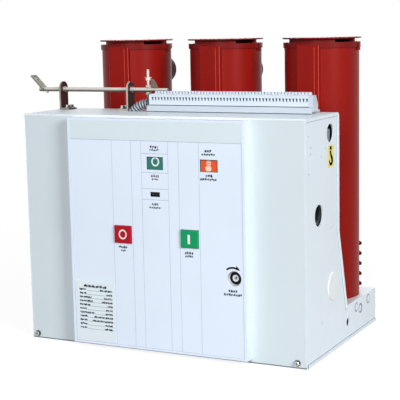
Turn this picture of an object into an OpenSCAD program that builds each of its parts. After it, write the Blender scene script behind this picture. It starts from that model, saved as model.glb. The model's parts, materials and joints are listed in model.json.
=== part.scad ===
// Indoor vacuum circuit breaker, fixed type: a sheet-metal mechanism box with a raised
// front panel, on a low base that carries three insulating cylinders behind it.
// Millimetres. +X right along the front, +Y to the rear, +Z up.
// Origin: centre of the base's footprint, on the surface that it stands on.

/* [Box] */
// Width of the box over its side plates
box_w = 588; // [540:1:640]
// Height of the box
box_h = 448.5; // [430:0.5:520]
// Depth of the box at its top, front plate to rear wall
box_d = 166; // [150:1:200]
// Thickness of the sheet metal
sheet = 2.5; // [1.5:0.5:3]
// Drop of the top plate's lips over the side plates
lip_drop = 6; // [4:1:12]
// Thickness of those lips
lip_t = 1.5; // [1:0.5:2]
// Outer radius of the rear sheet's bend towards the top plate
corner_r = 8; // [4:1:14]
// Width of the rear sheet's lips over the side plates
rear_lip_w = 8; // [6:0.5:12]
// How far those lips reach below the top of the base
rear_lip_foot = 5; // [1:0.5:8]

/* [Base] */
// Depth of the base, front plate to its rear face
base_d = 384; // [376:1:420]
// Height of the base behind the box
base_h = 69.5; // [50:0.5:90]
// Height at which the side plate's slanted edge starts
slant_z = 225.5; // [180:0.5:260]
// Distance behind the box at which that edge meets the base
slant_run = 45; // [30:1:55]
// Diameter of the four holding-down holes
foot_hole_d = 14; // [11:1:18]
// Distance of those holes from the side plates
foot_inset_x = 24; // [16:1:60]
// Distance of those holes from the front and from the rear
foot_inset_y = 40; // [24:1:60]
// Height of the bottom plate's lips over the side plates
hem_h = 6; // [4:1:12]
// Height of the relief slit at the side plate's front foot
slit_h = 18; // [10:1:24]
// Width of that slit
slit_w = 1.2; // [0.8:0.1:2]

/* [Side plate holes] */
// Diameter of the lifting hole
lift_d = 34; // [26:1:38]
// Distance of the lifting hole from the front
lift_y = 121; // [100:1:128]
// Distance of the lifting hole below the top
lift_drop = 35; // [30:1:45]
// Diameter of the access hole
access_d = 40; // [25:1:45]
// Distance of the access hole from the front
access_y = 62; // [50:1:80]
// Height of the access hole
access_z = 269.5; // [240:0.5:290]
// Diameter of the plugged hole
plug_d = 46; // [36:1:50]
// Distance of the plugged hole from the front
plug_y = 131; // [120:1:135]
// Height of the plugged hole
plug_z = 126; // [110:1:150]
// Overlap of the plug's rim on the plate
plug_rim = 3; // [2:0.5:5]
// Thickness of that rim
plug_t = 2.5; // [1:0.5:4]
// Diameter of the small hole in the base
vent_d = 16; // [10:1:20]
// Distance of the small hole from the front
vent_y = 217; // [205:1:260]
// Height of the small hole
vent_z = 36; // [25:1:40]

/* [Front panel] */
// Width of the raised panel
panel_w = 368; // [350:1:400]
// Offset of its middle from the middle of the box
panel_shift = 2; // [-10:1:10]
// Height of its lower edge
panel_z = 7.5; // [4:0.5:12]
// Distance of its upper edge below the top of the box
panel_drop = 4; // [2:0.5:8]
// How far it stands out from the front plate
panel_out = 22; // [18:1:26]
// Thickness of its face and sides
panel_t = 2; // [1.5:0.5:3]
// Width of its rim
rim_w = 4.5; // [3:0.5:8]
// Depth of the face below the rim
rim_depth = 0.8; // [0.4:0.2:1.2]
// Height of the header band, from its line to the panel's upper edge
header_h = 39.5; // [32:0.5:50]
// Width of the first column, from the panel's left edge
left_col_w = 95.5; // [90:0.5:100]
// Width of the two columns that hold the push-buttons
button_col_w = 41.5; // [40:0.5:44]
// Width of the two narrow columns beside the middle one
gap_col_w = 21.5; // [16:0.5:24]
// Width of the middle column
window_col_w = 56; // [50:0.5:60]
// Distance of the lines across the middle column from its windows
cell_margin = 5.7; // [3:0.1:8]
// Height of the rating plate's lower edge
plate_z = 14; // [13:0.5:30]
// Height of the rating plate
plate_h = 117; // [90:1:125]
// Width of the lines between the columns
line_w = 1; // [0.6:0.2:2]
// Depth of those lines
line_depth = 0.5; // [0.3:0.1:0.8]

/* [Push-buttons] */
// Width of a push-button
button_w = 36; // [28:1:38]
// Height of a push-button
button_h = 33; // [28:1:40]
// Height of the push-buttons' middle
button_z = 227; // [200:1:250]
// How far a push-button stands out from the panel's rim
button_out = 3; // [2:0.5:6]
// Depth of a push-button's cap
button_depth = 9; // [8:0.5:10]
// Travel of a push-button
button_travel = 5; // [3:0.5:6]
// Bevel round a push-button's face
button_bevel = 1.2; // [0.6:0.2:2]
// Gap round a push-button
button_gap = 0.6; // [0.4:0.1:1]
// Diameter of a push-button's stem
stem_d = 8; // [6:0.5:10]
// Length of the stem behind the front plate
stem_in = 22; // [16:1:40]

/* [Windows] */
// Width of the position indicator's window
pos_w = 34; // [28:1:38]
// Height of the position indicator's window
pos_h = 24; // [18:1:26]
// Distance of the position indicator's middle below the header band
pos_drop = 41.3; // [33:0.1:50]
// Offset of the position indicator from the middle of its column
pos_shift = 1; // [-4:0.5:4]
// Width of the spring indicator's window
spring_w = 35.5; // [28:0.5:40]
// Height of the spring indicator's window
spring_h = 22.5; // [18:0.5:26]
// Distance of the spring indicator's middle below the header band
spring_drop = 42.3; // [33:0.1:50]
// Distance of the spring indicator's middle from the column line on its left
spring_x = 20.5; // [20:0.5:40]
// Width of the counter's window
count_w = 20; // [16:1:26]
// Height of the counter's window
count_h = 9; // [6:0.5:10]
// Distance of the counter's middle below the header band
count_drop = 99.1; // [93:0.1:105]
// Thickness of the indicator plates
flag_t = 1.5; // [1:0.5:2]
// Depth of the indicator plates behind the panel's face
flag_in = 1; // [0.5:0.5:2]
// Margin by which an indicator plate is larger than its window
flag_margin = 3; // [2:0.5:4]

/* [Charging socket] */
// Distance of the charging shaft from the panel's right edge
charge_x = 23; // [20:0.5:28]
// Height of the charging shaft
charge_z = 159.7; // [150:0.1:175]
// Diameter of the socket at the panel's face
socket_d = 28; // [24:1:30]
// Diameter of the socket at its bottom
socket_floor_d = 23; // [20:0.5:24]
// Depth of the socket
socket_depth = 7; // [5:0.5:10]
// Wall of the socket's collar
collar_wall = 1.5; // [1:0.5:2]
// Thickness of the ring at the socket's bottom
bezel_t = 4; // [2:0.5:5]
// Diameter of the charging shaft
charge_d = 15; // [12:0.5:17]
// Gap between the charging shaft and that ring
charge_gap = 0.3; // [0.2:0.05:0.5]
// Width of the square hole in the charging shaft's end
charge_square = 5; // [4:0.5:8]
// Depth of that hole
charge_hole = 10; // [6:1:20]
// Length of the charging shaft behind the front plate
charge_in = 60; // [40:1:90]

/* [Insulating cylinders] */
// Spacing of the phases
phase = 210; // [180:1:220]
// Distance of the cylinders' axes from the front plate
pole_y = 301.7; // [298:0.1:306]
// Outer diameter of a cylinder
pole_d = 147; // [136:1:150]
// Wall of a cylinder
pole_wall = 11; // [8:0.5:14]
// Overall height of the breaker, at the top of the caps
top_z = 585; // [560:1:600]
// Thickness of a cap
cap_t = 3; // [2:0.5:6]
// Diameter of a cap
cap_d = 155; // [149:1:160]
// Height of the vented neck under a cap
neck_h = 6.5; // [5:0.5:14]
// Diameter of the neck
neck_d = 135; // [128:1:140]
// Wall of the neck
neck_wall = 7; // [5:0.5:9]
// Height of the flange ring under the neck
ring_h = 10.5; // [8:0.5:16]
// Diameter of the flange ring
ring_d = 152; // [148:1:156]
// Angle that each vent window of the neck spans
vent_angle = 94; // [60:1:110]
// Width of the post in the middle of a vent window
post_w = 9; // [6:1:14]
// Width of the flat pad down the front of a cylinder
pad_w = 47; // [36:1:60]
// How far that pad stands out from the cylinder
pad_out = 5; // [3.5:0.5:8]
// Radius of the pad's two front edges
pad_round = 3; // [1:0.5:3]
// Distance of the pad's upper end below the flange ring's top
pad_drop = 4.5; // [2:0.5:8]
// Width of the lugs on the two sides of the flange ring
lug_w = 8; // [6:1:14]
// How far a lug stands out from the flange ring
lug_out = 2.5; // [1.5:0.5:5]
// Distance by which a lug reaches below the flange ring
lug_drop = 6; // [3:0.5:12]
// Number of sheds round the rear of a cylinder's foot
shed_n = 5; // [3:1:6]
// Pitch of the sheds
shed_pitch = 20.8; // [18:0.1:22]
// How far a shed stands out
shed_out = 5.5; // [4:0.5:9]
// Thickness of a shed at its rim
shed_t = 5; // [3:0.5:7]
// Height of the lowest shed's middle above the base
shed_z = 17; // [8:0.5:24]
// Distance behind the cylinder's axis at which the sheds start
shed_start = 36; // [20:1:50]

/* [Terminals] */
// Height of the upper terminals' axis
terminal_z = 517; // [500:1:524]
// Distance between the upper and the lower terminals
terminal_drop = 275; // [260:1:280]
// Outer diameter of the arm round a terminal
arm_d = 59; // [48:1:66]
// Distance of the terminals' faces from the front plate
terminal_y = 433; // [420:1:445]
// How far a terminal's face stands out from its arm
terminal_out = 8; // [4:1:14]
// Diameter of a terminal
terminal_d = 36; // [30:1:40]
// Diameter of the bolt hole in a terminal
terminal_bore = 14; // [10:0.5:16]
// Depth of that hole
terminal_bore_depth = 30; // [20:1:36]

/* [Terminal strip] */
// Distance of the rail's left end from the trip rod
rail_gap = 12; // [10:0.5:20]
// Distance by which the rail passes the left end of the blocks
rail_past = 5.5; // [4:0.5:8]
// Pitch of the terminal blocks
block_pitch = 6.65; // [5:0.05:8]
// Width of the plain cover at the left end of the blocks
cover_w = 4.5; // [2:0.5:8]
// Distance of the strip's right end from the right side plate
strip_inset = 23; // [16:1:30]
// Distance of the strip's front from the front plate
strip_y = 95; // [88:1:98]
// Depth of the strip
strip_d = 26.5; // [24:0.5:28]
// Height of the rail under the strip
rail_h = 12.5; // [9:0.5:15]
// Wall of the rail
rail_wall = 2; // [1.5:0.5:3]
// Height of a terminal block without its tooth
block_h = 22; // [18:0.5:22]
// Height of the tooth on a block
tooth_h = 5; // [3:0.5:5]
// Width of that tooth
tooth_w = 4.4; // [3:0.1:4.6]
// Depth of that tooth
tooth_d = 6; // [4:0.5:7]
// Distance of that tooth's front from the strip's rear
tooth_back = 11.5; // [11.5:0.5:14]
// Slope of the blocks' rear face, from foot to top
block_slope = 5.5; // [4:0.5:5.5]
// Width of a wire entry at its top
entry_w = 4; // [2:0.1:4.4]
// Width of a wire entry at its foot
entry_foot = 1.4; // [1:0.1:3]
// Distance by which its foot is moved to the right
entry_shift = 0.6; // [0:0.1:1]
// Height of a wire entry
entry_h = 6.5; // [4:0.5:8]
// Height of the wire entries' middle above the rail
entry_z = 13; // [10:0.5:14]
// Depth of a wire entry
entry_d = 7; // [4:0.5:9]
// Thickness of the right end stop
stop_t = 8.5; // [5:0.5:12]
// Slope of that end stop's rear face
stop_slope = 10; // [5:0.5:12]
// Thickness of the left end plate
end_t = 2.5; // [1.5:0.5:3]
// Margin of the left end plate round the blocks' outline
end_margin = 0.8; // [0.4:0.2:1.4]
// Height of the right end stop's tongue over the rail's end
tongue_h = 8; // [5:0.5:10]

/* [Conduit] */
// Outer diameter of the conduit
conduit_d = 18; // [14:1:19]
// Radius of the conduit's bend
conduit_r = 53; // [45:1:60]
// Angle at which the conduit leaves the top plate
conduit_angle = 45; // [40:1:50]
// Depth of its corrugations
conduit_rib = 1.2; // [0.8:0.1:1.6]
// Number of its corrugations
conduit_n = 10; // [6:1:14]

/* [Interlock shaft] */
// Diameter of the shaft
shaft_d = 9; // [8:0.5:10]
// Diameter of its thinner right end
shaft_end_d = 7; // [5:0.2:7.4]
// Height of its axis above the top plate
shaft_up = 40.5; // [40:0.5:50]
// Distance of its axis from the front plate
shaft_y = 125; // [120:1:130]
// How far it stands out beyond the left side plate
shaft_out = 46; // [44:1:60]
// Length of its thinner end
shaft_end = 35.5; // [24:0.5:44]
// Running gap in the brackets
shaft_gap = 0.2; // [0.1:0.05:0.4]

/* [Interlock lever] */
// Width of the lever
lever_w = 19; // [14:1:28]
// Thickness of the lever
lever_t = 3; // [2:0.5:4]
// Length of the lever from the shaft's axis
lever_len = 39.5; // [30:0.5:50]
// Angle at which the lever leans outwards
lever_lean = 45; // [30:1:50]
// Distance of the lever from the shaft's left end
lever_x = 12; // [9:0.5:16]
// Width of the lever's slot
slot_w = 7; // [5:0.5:9]
// Length of the lever's slot
slot_len = 12; // [10:1:18]
// Distance of the slot from the lever's free end
slot_margin = 3; // [2:0.5:6]

/* [Brackets] */
// Width of a bracket
bracket_w = 28; // [24:0.5:32]
// Height of its round top's centre above the shaft's axis
bracket_up = 2.5; // [0:0.5:6]
// Thickness of a bracket
bracket_t = 3.5; // [2:0.5:4]
// Length of a bracket's foot
bracket_foot = 23; // [20:1:36]
// Distance of the left bracket from the left side plate's outer face
bracket_inset = 9; // [5:1:16]
// Spacing of the two brackets
bracket_span = 157; // [145:1:160]
// Width of the collar beside a bracket
collar_w = 5; // [4:0.5:8]
// Diameter of that collar
collar_d = 12; // [11.5:0.5:16]

/* [Trip rod] */
// Diameter of the rod
rod_d = 5; // [4:0.5:6]
// Distance of the rod from the right bracket's left face
rod_x = 42.5; // [40:0.5:46]
// Height of the rod's end above the shaft's axis
rod_up = 40; // [34:1:46]
// Depth of the rod's end below the shaft's axis
rod_down = 15.5; // [12:0.5:16]
// Width across the flats of its nuts
nut_w = 9.5; // [7:0.5:10]
// Height of its nuts
nut_h = 5; // [4:0.5:6]
// Height of the upper nut above the shaft's axis
upper_nut = 18.5; // [14:0.5:22]
// Diameter of its washer
washer_d = 14; // [11:0.5:15]
// Thickness of its washer
washer_t = 1.2; // [1:0.1:1.6]
// Radius of the arc of the sector plate on the shaft
sector_r = 24.5; // [18:0.5:25]
// Distance of that arc's centre from the plate's straight edge
sector_shift = 9; // [6:0.5:12]
// Thickness of the sector plate
sector_t = 2; // [1.5:0.5:3]

/* [Hidden] */
$fn = 64;
eps = 0.01;
small = 0.3;

// Length of the plugs behind the side plates
plug_in = 2;

// Planes and edges of the box
half_w = box_w / 2;
front_y = -base_d / 2;
rear_y = base_d / 2;
box_rear = front_y + box_d;
inner_w = half_w - sheet;
top_under = box_h - sheet;
base_under = base_h - sheet;
slant_angle = atan(slant_run / (slant_z - base_h));
slant_foot = box_rear + slant_run - sheet / cos(slant_angle);
lip_foot_y = box_rear + slant_run + rear_lip_foot * tan(slant_angle);
top_lip_end = box_rear - max(corner_r, rear_lip_w) - small;

// The front panel
panel_top = box_h - panel_drop;
header_z = panel_top - header_h;
panel_l = panel_shift - panel_w / 2;
panel_r = panel_shift + panel_w / 2;
panel_front = front_y - panel_out;
panel_face = panel_front + rim_depth;
panel_back = panel_face + panel_t;
inner_l = panel_l + rim_w;
inner_r = panel_r - rim_w;

// Column lines of the panel, from left to right
line_1 = panel_l + left_col_w;
line_2 = line_1 + button_col_w;
line_3 = line_2 + gap_col_w;
line_4 = line_3 + window_col_w;
line_5 = line_4 + gap_col_w;
line_6 = line_5 + button_col_w;
column_x = [line_1, line_2, line_3, line_4, line_5, line_6];
off_x = (line_1 + line_2) / 2;
on_x = (line_5 + line_6) / 2;
count_x = (line_3 + line_4) / 2;
pos_x = count_x + pos_shift;
spring_mid = line_6 + spring_x;
pos_z = header_z - pos_drop;
spring_z = header_z - spring_drop;
count_z = header_z - count_drop;
row_z = [pos_z + pos_h / 2 + cell_margin, pos_z - pos_h / 2 - cell_margin,
    count_z + count_h / 2 + cell_margin, count_z - count_h / 2 - cell_margin];

// Charging socket
socket_x = panel_r - charge_x;
socket_floor = panel_face + socket_depth;
charge_end = socket_floor - 0.5;
bezel_d = socket_floor_d + 2 * collar_wall;

// Push-buttons
button_front = panel_front - button_out;
button_back = button_front + button_depth;
stem_hole = stem_d + 2 * button_gap;
stem_head = stem_d + 6;
stem_head_t = 3;

// Rating plate, between the panel's rim and the first column line
plate_t = 0.6;
plate_margin = 1.5;

// Insulating cylinders
cap_z = top_z - cap_t;
neck_z = cap_z - neck_h;
ring_z = neck_z - ring_h;
pole_c = front_y + pole_y;
pole_bore = pole_d - 2 * pole_wall;
neck_bore = neck_d - 2 * neck_wall;
cap_spigot = 1.5;
pad_front = pole_d / 2 + pad_out;
pad_top = neck_z - pad_drop;
lug_near = pole_d / 2 - 2;
lug_far = ring_d / 2 + lug_out;
lug_foot = ring_z - lug_drop;
lug_head = neck_z - 1.5;
arm_end = front_y + terminal_y - terminal_out;
terminal_face = front_y + terminal_y;
terminal_len = 60;
phases = [-phase, 0, phase];

// Shaft, brackets and rod
shaft_c = front_y + shaft_y;
shaft_z = box_h + shaft_up;
shaft_l = -half_w - shaft_out;
bracket_l = -half_w + bracket_inset;
bracket_r = bracket_l + bracket_span;
rod_c = bracket_r + rod_x;
shaft_step = rod_c + nut_w / 2 + 3;
lever_c = shaft_l + lever_x;
sector_l = rod_c + nut_w / 2 + 1.5;

// Terminal strip, from the trip rod to the right side plate
rail_l = rod_c + rail_gap;
strip_l = rail_l + rail_past;
row_l = strip_l + cover_w;
block_n = floor((half_w - strip_inset - stop_t - row_l) / block_pitch);
strip_r = row_l + block_n * block_pitch;
rail_r = strip_r + stop_t - rail_wall;
strip_front = front_y + strip_y;
rail_top = box_h + rail_h;
block_top = rail_top + block_h + tooth_h;
entry_mid = rail_top + entry_z;
undercut = 1.5;
tooth_y = strip_d - tooth_back;
block_foot = 4;

// Conduit
conduit_x = rail_l;
conduit_y = strip_front + strip_d / 2;
conduit_z = box_h + conduit_r * (1 - cos(conduit_angle));
conduit_in = 12;
plate_angle = asin(sheet / conduit_r) + conduit_angle + conduit_in;

// A block between two opposite corners
module block(a, b) {
    translate(a) cube(b - a);
}

// A cylinder along +Y from a point on its axis
module rod_y(at, d, len) {
    translate(at) rotate([-90, 0, 0]) cylinder(d = d, h = len);
}

// A cylinder along +X from a point on its axis
module rod_x_axis(at, d, len) {
    translate(at) rotate([0, 90, 0]) cylinder(d = d, h = len);
}

// Places a drawing of the side view, with Y across and Z up, as a plate from x on
module side_view(x, t) {
    translate([x, 0, 0]) rotate([90, 0, 90]) linear_extrude(t) children();
}

// Fills the space outside a round corner of radius r, whose centre is the bend's centre
module outside_bend(r) {
    translate([box_rear - corner_r, box_h - corner_r]) difference() {
        square(corner_r + eps);
        circle(r);
    }
}

// Outline of a side plate, inside the sheets that cover its top and its rear edge
module side_outline() {
    difference() {
        polygon([[front_y, sheet], [rear_y, sheet], [rear_y, base_under], [slant_foot, base_under],
            [slant_foot, base_h], [box_rear - sheet, slant_z], [box_rear - sheet, top_under],
            [front_y, top_under]]);
        outside_bend(corner_r - sheet);
    }
}

// Side plate with its holes and the slit at its front foot: s is -1 left and 1 right
module side_plate(s) {
    color([0.86, 0.89, 0.91]) side_view(s > 0 ? inner_w : -half_w, sheet) difference() {
        side_outline();
        translate([front_y + lift_y, box_h - lift_drop]) circle(d = lift_d);
        translate([front_y + access_y, access_z]) circle(d = access_d);
        translate([front_y + plug_y, plug_z]) circle(d = plug_d);
        translate([front_y + vent_y, vent_z]) circle(d = vent_d);
        translate([front_y + sheet, -1]) square([slit_w, slit_h + 1]);
    }
}

module left_side_plate() {
    side_plate(-1);
}

module right_side_plate() {
    side_plate(1);
}

module front_plate() {
    color([0.82, 0.87, 0.9]) difference() {
        block([-inner_w, front_y, sheet], [inner_w, front_y + sheet, top_under]);
        for (x = [off_x, on_x])
            rod_y([x, front_y - 1, button_z], stem_hole, sheet + 2);
        rod_y([socket_x, front_y - 1, charge_z], charge_d + small, sheet + 2);
    }
}

// Top plate with its lips over the side plates, holed for the conduit
module top_plate() {
    color([0.84, 0.86, 0.88]) difference() {
        union() {
            block([-half_w, front_y, top_under], [half_w, box_rear - corner_r, box_h]);
            for (s = [-1, 1]) translate([s * (half_w + lip_t / 2), (front_y + top_lip_end) / 2,
                box_h - lip_drop / 2]) cube([lip_t, top_lip_end - front_y, lip_drop], center = true);
        }
        conduit_path(conduit_d + 1);
    }
}

// Section of the rear sheet: a bend at the top, the upright wall and a slanted foot
module rear_section() {
    difference() {
        translate([box_rear - corner_r, box_h - corner_r]) square(corner_r);
        outside_bend(corner_r);
        translate([box_rear - corner_r, box_h - corner_r]) circle(corner_r - sheet);
    }
    polygon([[box_rear - sheet, box_h - corner_r + eps], [box_rear, box_h - corner_r + eps],
        [box_rear, slant_z], [box_rear + slant_run, base_h], [slant_foot, base_h],
        [box_rear - sheet, slant_z]]);
}

// Section of the lips that the rear sheet folds over the side plates
module lip_section() {
    difference() {
        polygon([[box_rear - rear_lip_w, box_h], [box_rear, box_h], [box_rear, slant_z],
            [lip_foot_y, base_h - rear_lip_foot],
            [lip_foot_y - rear_lip_w / cos(slant_angle), base_h - rear_lip_foot],
            [box_rear - rear_lip_w, slant_z]]);
        outside_bend(corner_r);
    }
}

// Rear sheet: bent to meet the top plate, with a slanted foot and a lip on each side
module rear_wall() {
    color([0.8, 0.83, 0.85]) {
        side_view(-half_w, box_w) rear_section();
        for (x = [-half_w - lip_t, half_w]) side_view(x, lip_t) lip_section();
    }
}

// Bottom plate with its holding-down holes, and lips outside the side plates
module bottom_plate() {
    lip_y = front_y + sheet + slit_w;
    color([0.78, 0.8, 0.82]) difference() {
        union() {
            block([-half_w, front_y, 0], [half_w, rear_y, sheet]);
            for (s = [-1, 1]) translate([s * (half_w + lip_t / 2), (lip_y + rear_y) / 2, hem_h / 2])
                cube([lip_t, rear_y - lip_y, hem_h], center = true);
        }
        for (x = [-1, 1], y = [front_y + foot_inset_y, rear_y - foot_inset_y])
            translate([x * (half_w - foot_inset_x), y, -1]) cylinder(d = foot_hole_d, h = sheet + 2);
    }
}

// Top of the base: it lies on the side plates behind the box and runs on between them
module base_top_plate() {
    color([0.8, 0.83, 0.85]) {
        block([-half_w, slant_foot, base_under], [half_w, rear_y, base_h]);
        block([-inner_w, box_rear, base_under], [inner_w, slant_foot + eps, base_h]);
    }
}

module base_rear_rail() {
    color([0.8, 0.83, 0.85])
        block([-inner_w, rear_y - sheet, sheet], [inner_w, rear_y, base_under]);
}

// A rectangular window cut through the panel's face
module window(x, z, w, h) {
    block([x - w / 2, panel_front - 1, z - h / 2], [x + w / 2, panel_back + 1, z + h / 2]);
}

// Raised panel: a tray open to the rear, with a rim, column lines and windows
module front_panel() {
    color([0.88, 0.92, 0.97]) difference() {
        block([panel_l, panel_front, panel_z], [panel_r, front_y, panel_top]);
        block([panel_l + panel_t, panel_back, panel_z + panel_t],
            [panel_r - panel_t, front_y + 1, panel_top - panel_t]);
        block([inner_l, panel_front - 1, panel_z + rim_w],
            [inner_r, panel_face, panel_top - rim_w]);
        for (x = column_x)
            block([x - line_w / 2, panel_front, panel_z + rim_w],
                [x + line_w / 2, panel_face + line_depth, header_z]);
        for (z = row_z)
            block([line_3, panel_front, z - line_w / 2],
                [line_4, panel_face + line_depth, z + line_w / 2]);
        for (x = [off_x, on_x])
            window(x, button_z, button_w + 2 * button_gap, button_h + 2 * button_gap);
        window(pos_x, pos_z, pos_w, pos_h);
        window(spring_mid, spring_z, spring_w, spring_h);
        window(count_x, count_z, count_w, count_h);
        rod_y([socket_x, panel_front - 1, charge_z], socket_d, panel_t + 3);
    }
}

// Header band across the top of the panel
module header_strip() {
    color([0.86, 0.9, 0.92])
        block([inner_l, panel_face - plate_t, header_z], [inner_r, panel_face, panel_top - rim_w]);
}

module rating_plate() {
    color([0.8, 0.83, 0.85])
        block([inner_l + plate_margin, panel_face - plate_t, plate_z],
            [line_1 - plate_margin, panel_face, plate_z + plate_h]);
}

// Push-button: a bevelled cap on a stem with a head behind the front plate
module button(x) {
    stem_len = front_y + stem_in - button_back;
    translate([x, button_front, button_z]) rotate([-90, 0, 0]) {
        hull() {
            linear_extrude(eps) square([button_w - 2 * button_bevel,
                button_h - 2 * button_bevel], center = true);
            translate([0, 0, button_bevel]) linear_extrude(eps)
                square([button_w, button_h], center = true);
        }
        translate([0, 0, button_bevel]) linear_extrude(button_depth - button_bevel)
            square([button_w, button_h], center = true);
        translate([0, 0, button_depth - eps]) cylinder(d = stem_d, h = stem_len + eps);
        translate([0, 0, button_depth + stem_len - stem_head_t])
            cylinder(d = stem_head, h = stem_head_t);
    }
}

module off_button() {
    color([0.7, 0.1, 0.18]) button(off_x);
}

module on_button() {
    color([0.1, 0.62, 0.4]) button(on_x);
}

// Plate behind a window, held against the back of the panel's face
module flag(x, z, w, h) {
    block([x - w / 2 - flag_margin, panel_back, z - h / 2 - flag_margin],
        [x + w / 2 + flag_margin, panel_back + flag_t, z + h / 2 + flag_margin]);
}

module position_indicator() {
    color([0.18, 0.45, 0.41]) flag(pos_x, pos_z, pos_w, pos_h);
}

module spring_indicator() {
    color([0.88, 0.33, 0.18]) flag(spring_mid, spring_z, spring_w, spring_h);
}

// Counter: a small case behind its window, with the face of its drums in the window
module operation_counter() {
    color([0.1, 0.1, 0.11]) {
        flag(count_x, count_z, count_w, count_h);
        block([count_x - count_w / 2, panel_face + flag_in, count_z - count_h / 2],
            [count_x + count_w / 2, panel_back + eps, count_z + count_h / 2]);
    }
}

// Collar of the charging socket: a cone that narrows from behind the panel's face
module charging_collar() {
    color([0.6, 0.63, 0.66]) translate([socket_x, panel_back, charge_z]) rotate([-90, 0, 0])
        rotate_extrude() polygon([[socket_d / 2, 0], [socket_d / 2 + collar_wall, 0],
            [bezel_d / 2, socket_floor - panel_back], [socket_floor_d / 2, socket_floor - panel_back]]);
}

// Ring at the bottom of the socket, round the charging shaft
module charging_bezel() {
    color([0.08, 0.08, 0.09]) difference() {
        rod_y([socket_x, socket_floor, charge_z], bezel_d, bezel_t);
        rod_y([socket_x, socket_floor - 1, charge_z], charge_d + 2 * charge_gap, bezel_t + 2);
    }
}

// Charging shaft, with a square hole in its end
module charging_shaft() {
    color([0.75, 0.76, 0.78]) difference() {
        rod_y([socket_x, charge_end, charge_z], charge_d, front_y + charge_in - charge_end);
        block([socket_x - charge_square / 2, charge_end - 1, charge_z - charge_square / 2],
            [socket_x + charge_square / 2, charge_end + charge_hole, charge_z + charge_square / 2]);
    }
}

// Plug of the round hole in a side plate: s is -1 on the left and 1 on the right
module plug(s) {
    at = [s * half_w, front_y + plug_y, plug_z];
    color([0.93, 0.94, 0.94]) translate(at) rotate([0, s * 90, 0]) {
        cylinder(d = plug_d + 2 * plug_rim, h = plug_t);
        translate([0, 0, -sheet - plug_in]) cylinder(d = plug_d - small, h = sheet + plug_in + eps);
    }
}

module left_plug() {
    plug(-1);
}

module right_plug() {
    plug(1);
}

// Half of a ring of vent windows in the neck, on the side s
module vent(s) {
    rotate([0, 0, s > 0 ? -vent_angle / 2 : 180 - vent_angle / 2])
        rotate_extrude(angle = vent_angle)
            translate([neck_bore / 2 - 1, neck_z])
                square([(neck_d - neck_bore) / 2 + 2, neck_h + 1]);
}

// Section of the pad: flat in front, with two rounded edges
module pad_outline() {
    translate([-pad_w / 2 + pad_round, -pad_front]) square([pad_w - 2 * pad_round, pad_front]);
    translate([-pad_w / 2, pad_round - pad_front]) square([pad_w, pad_front - pad_round]);
    for (s = [-1, 1])
        translate([s * (pad_w / 2 - pad_round), pad_round - pad_front]) circle(pad_round);
}

// Insulating cylinder: bored body, flange ring, vented neck, front pad, lugs, two arms and sheds
module pole(x) {
    color([0.66, 0.13, 0.1]) translate([x, pole_c, 0]) difference() {
        union() {
            translate([0, 0, base_h]) cylinder(d = pole_d, h = ring_z - base_h + eps);
            translate([0, 0, ring_z]) cylinder(d = ring_d, h = ring_h);
            difference() {
                translate([0, 0, neck_z - eps]) cylinder(d = neck_d, h = neck_h + eps);
                difference() {
                    union() for (s = [-1, 1]) vent(s);
                    translate([-neck_d, -post_w / 2, neck_z]) cube([2 * neck_d, post_w, neck_h + 1]);
                }
            }
            translate([0, 0, base_h]) linear_extrude(pad_top - base_h) pad_outline();
            for (s = [-1, 1]) translate([s * (lug_near + lug_far) / 2, 0, (lug_foot + lug_head) / 2])
                cube([lug_far - lug_near, lug_w, lug_head - lug_foot], center = true);
            for (z = [terminal_z, terminal_z - terminal_drop])
                rod_y([0, 0, z], arm_d, arm_end - pole_c);
            intersection() {
                for (i = [0:shed_n - 1])
                    translate([0, 0, base_h + shed_z + i * shed_pitch]) shed();
                block([-pole_d, shed_start, base_h], [pole_d, pole_d, ring_z]);
            }
        }
        translate([0, 0, base_h + 8]) cylinder(d = pole_bore, h = neck_z - base_h - 8);
        translate([0, 0, neck_z - 1]) cylinder(d = neck_bore, h = neck_h + 2);
        for (z = [terminal_z, terminal_z - terminal_drop])
            rod_y([0, arm_end - pole_c - terminal_len + terminal_out, z], terminal_d + small,
                terminal_len);
    }
}

// One shed, a ring with sloping faces
module shed() {
    rotate_extrude() polygon([[pole_d / 2 - 1, -shed_t], [pole_d / 2 + shed_out, -shed_t / 2],
        [pole_d / 2 + shed_out, shed_t / 2], [pole_d / 2 - 1, shed_t]]);
}

module left_cylinder() {
    pole(phases[0]);
}

module middle_cylinder() {
    pole(phases[1]);
}

module right_cylinder() {
    pole(phases[2]);
}

// Cap on a cylinder's neck
module cap(x) {
    color([0.62, 0.12, 0.1]) translate([x, pole_c, 0]) {
        translate([0, 0, cap_z]) cylinder(d = cap_d, h = cap_t);
        translate([0, 0, cap_z - cap_spigot]) cylinder(d = neck_bore - small, h = cap_spigot + eps);
    }
}

module left_cap() {
    cap(phases[0]);
}

module middle_cap() {
    cap(phases[1]);
}

module right_cap() {
    cap(phases[2]);
}

// Terminal: a round copper bar in its arm, with a bolt hole in its face
module terminal(x, z) {
    color([0.8, 0.78, 0.74]) difference() {
        rod_y([x, terminal_face - terminal_len, z], terminal_d, terminal_len);
        rod_y([x, terminal_face - terminal_bore_depth, z], terminal_bore, terminal_bore_depth + 1);
    }
}

module left_upper_terminal() {
    terminal(phases[0], terminal_z);
}

module middle_upper_terminal() {
    terminal(phases[1], terminal_z);
}

module right_upper_terminal() {
    terminal(phases[2], terminal_z);
}

module left_lower_terminal() {
    terminal(phases[0], terminal_z - terminal_drop);
}

module middle_lower_terminal() {
    terminal(phases[1], terminal_z - terminal_drop);
}

module right_lower_terminal() {
    terminal(phases[2], terminal_z - terminal_drop);
}

// End view of the blocks: a flat front, a narrow top and a sloping rear
module block_outline() {
    polygon([[2, 0], [strip_d, 0], [strip_d, block_foot], [strip_d - block_slope, block_h],
        [2, block_h], [0, block_h - 2], [0, undercut], [2, undercut]]);
}

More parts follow.
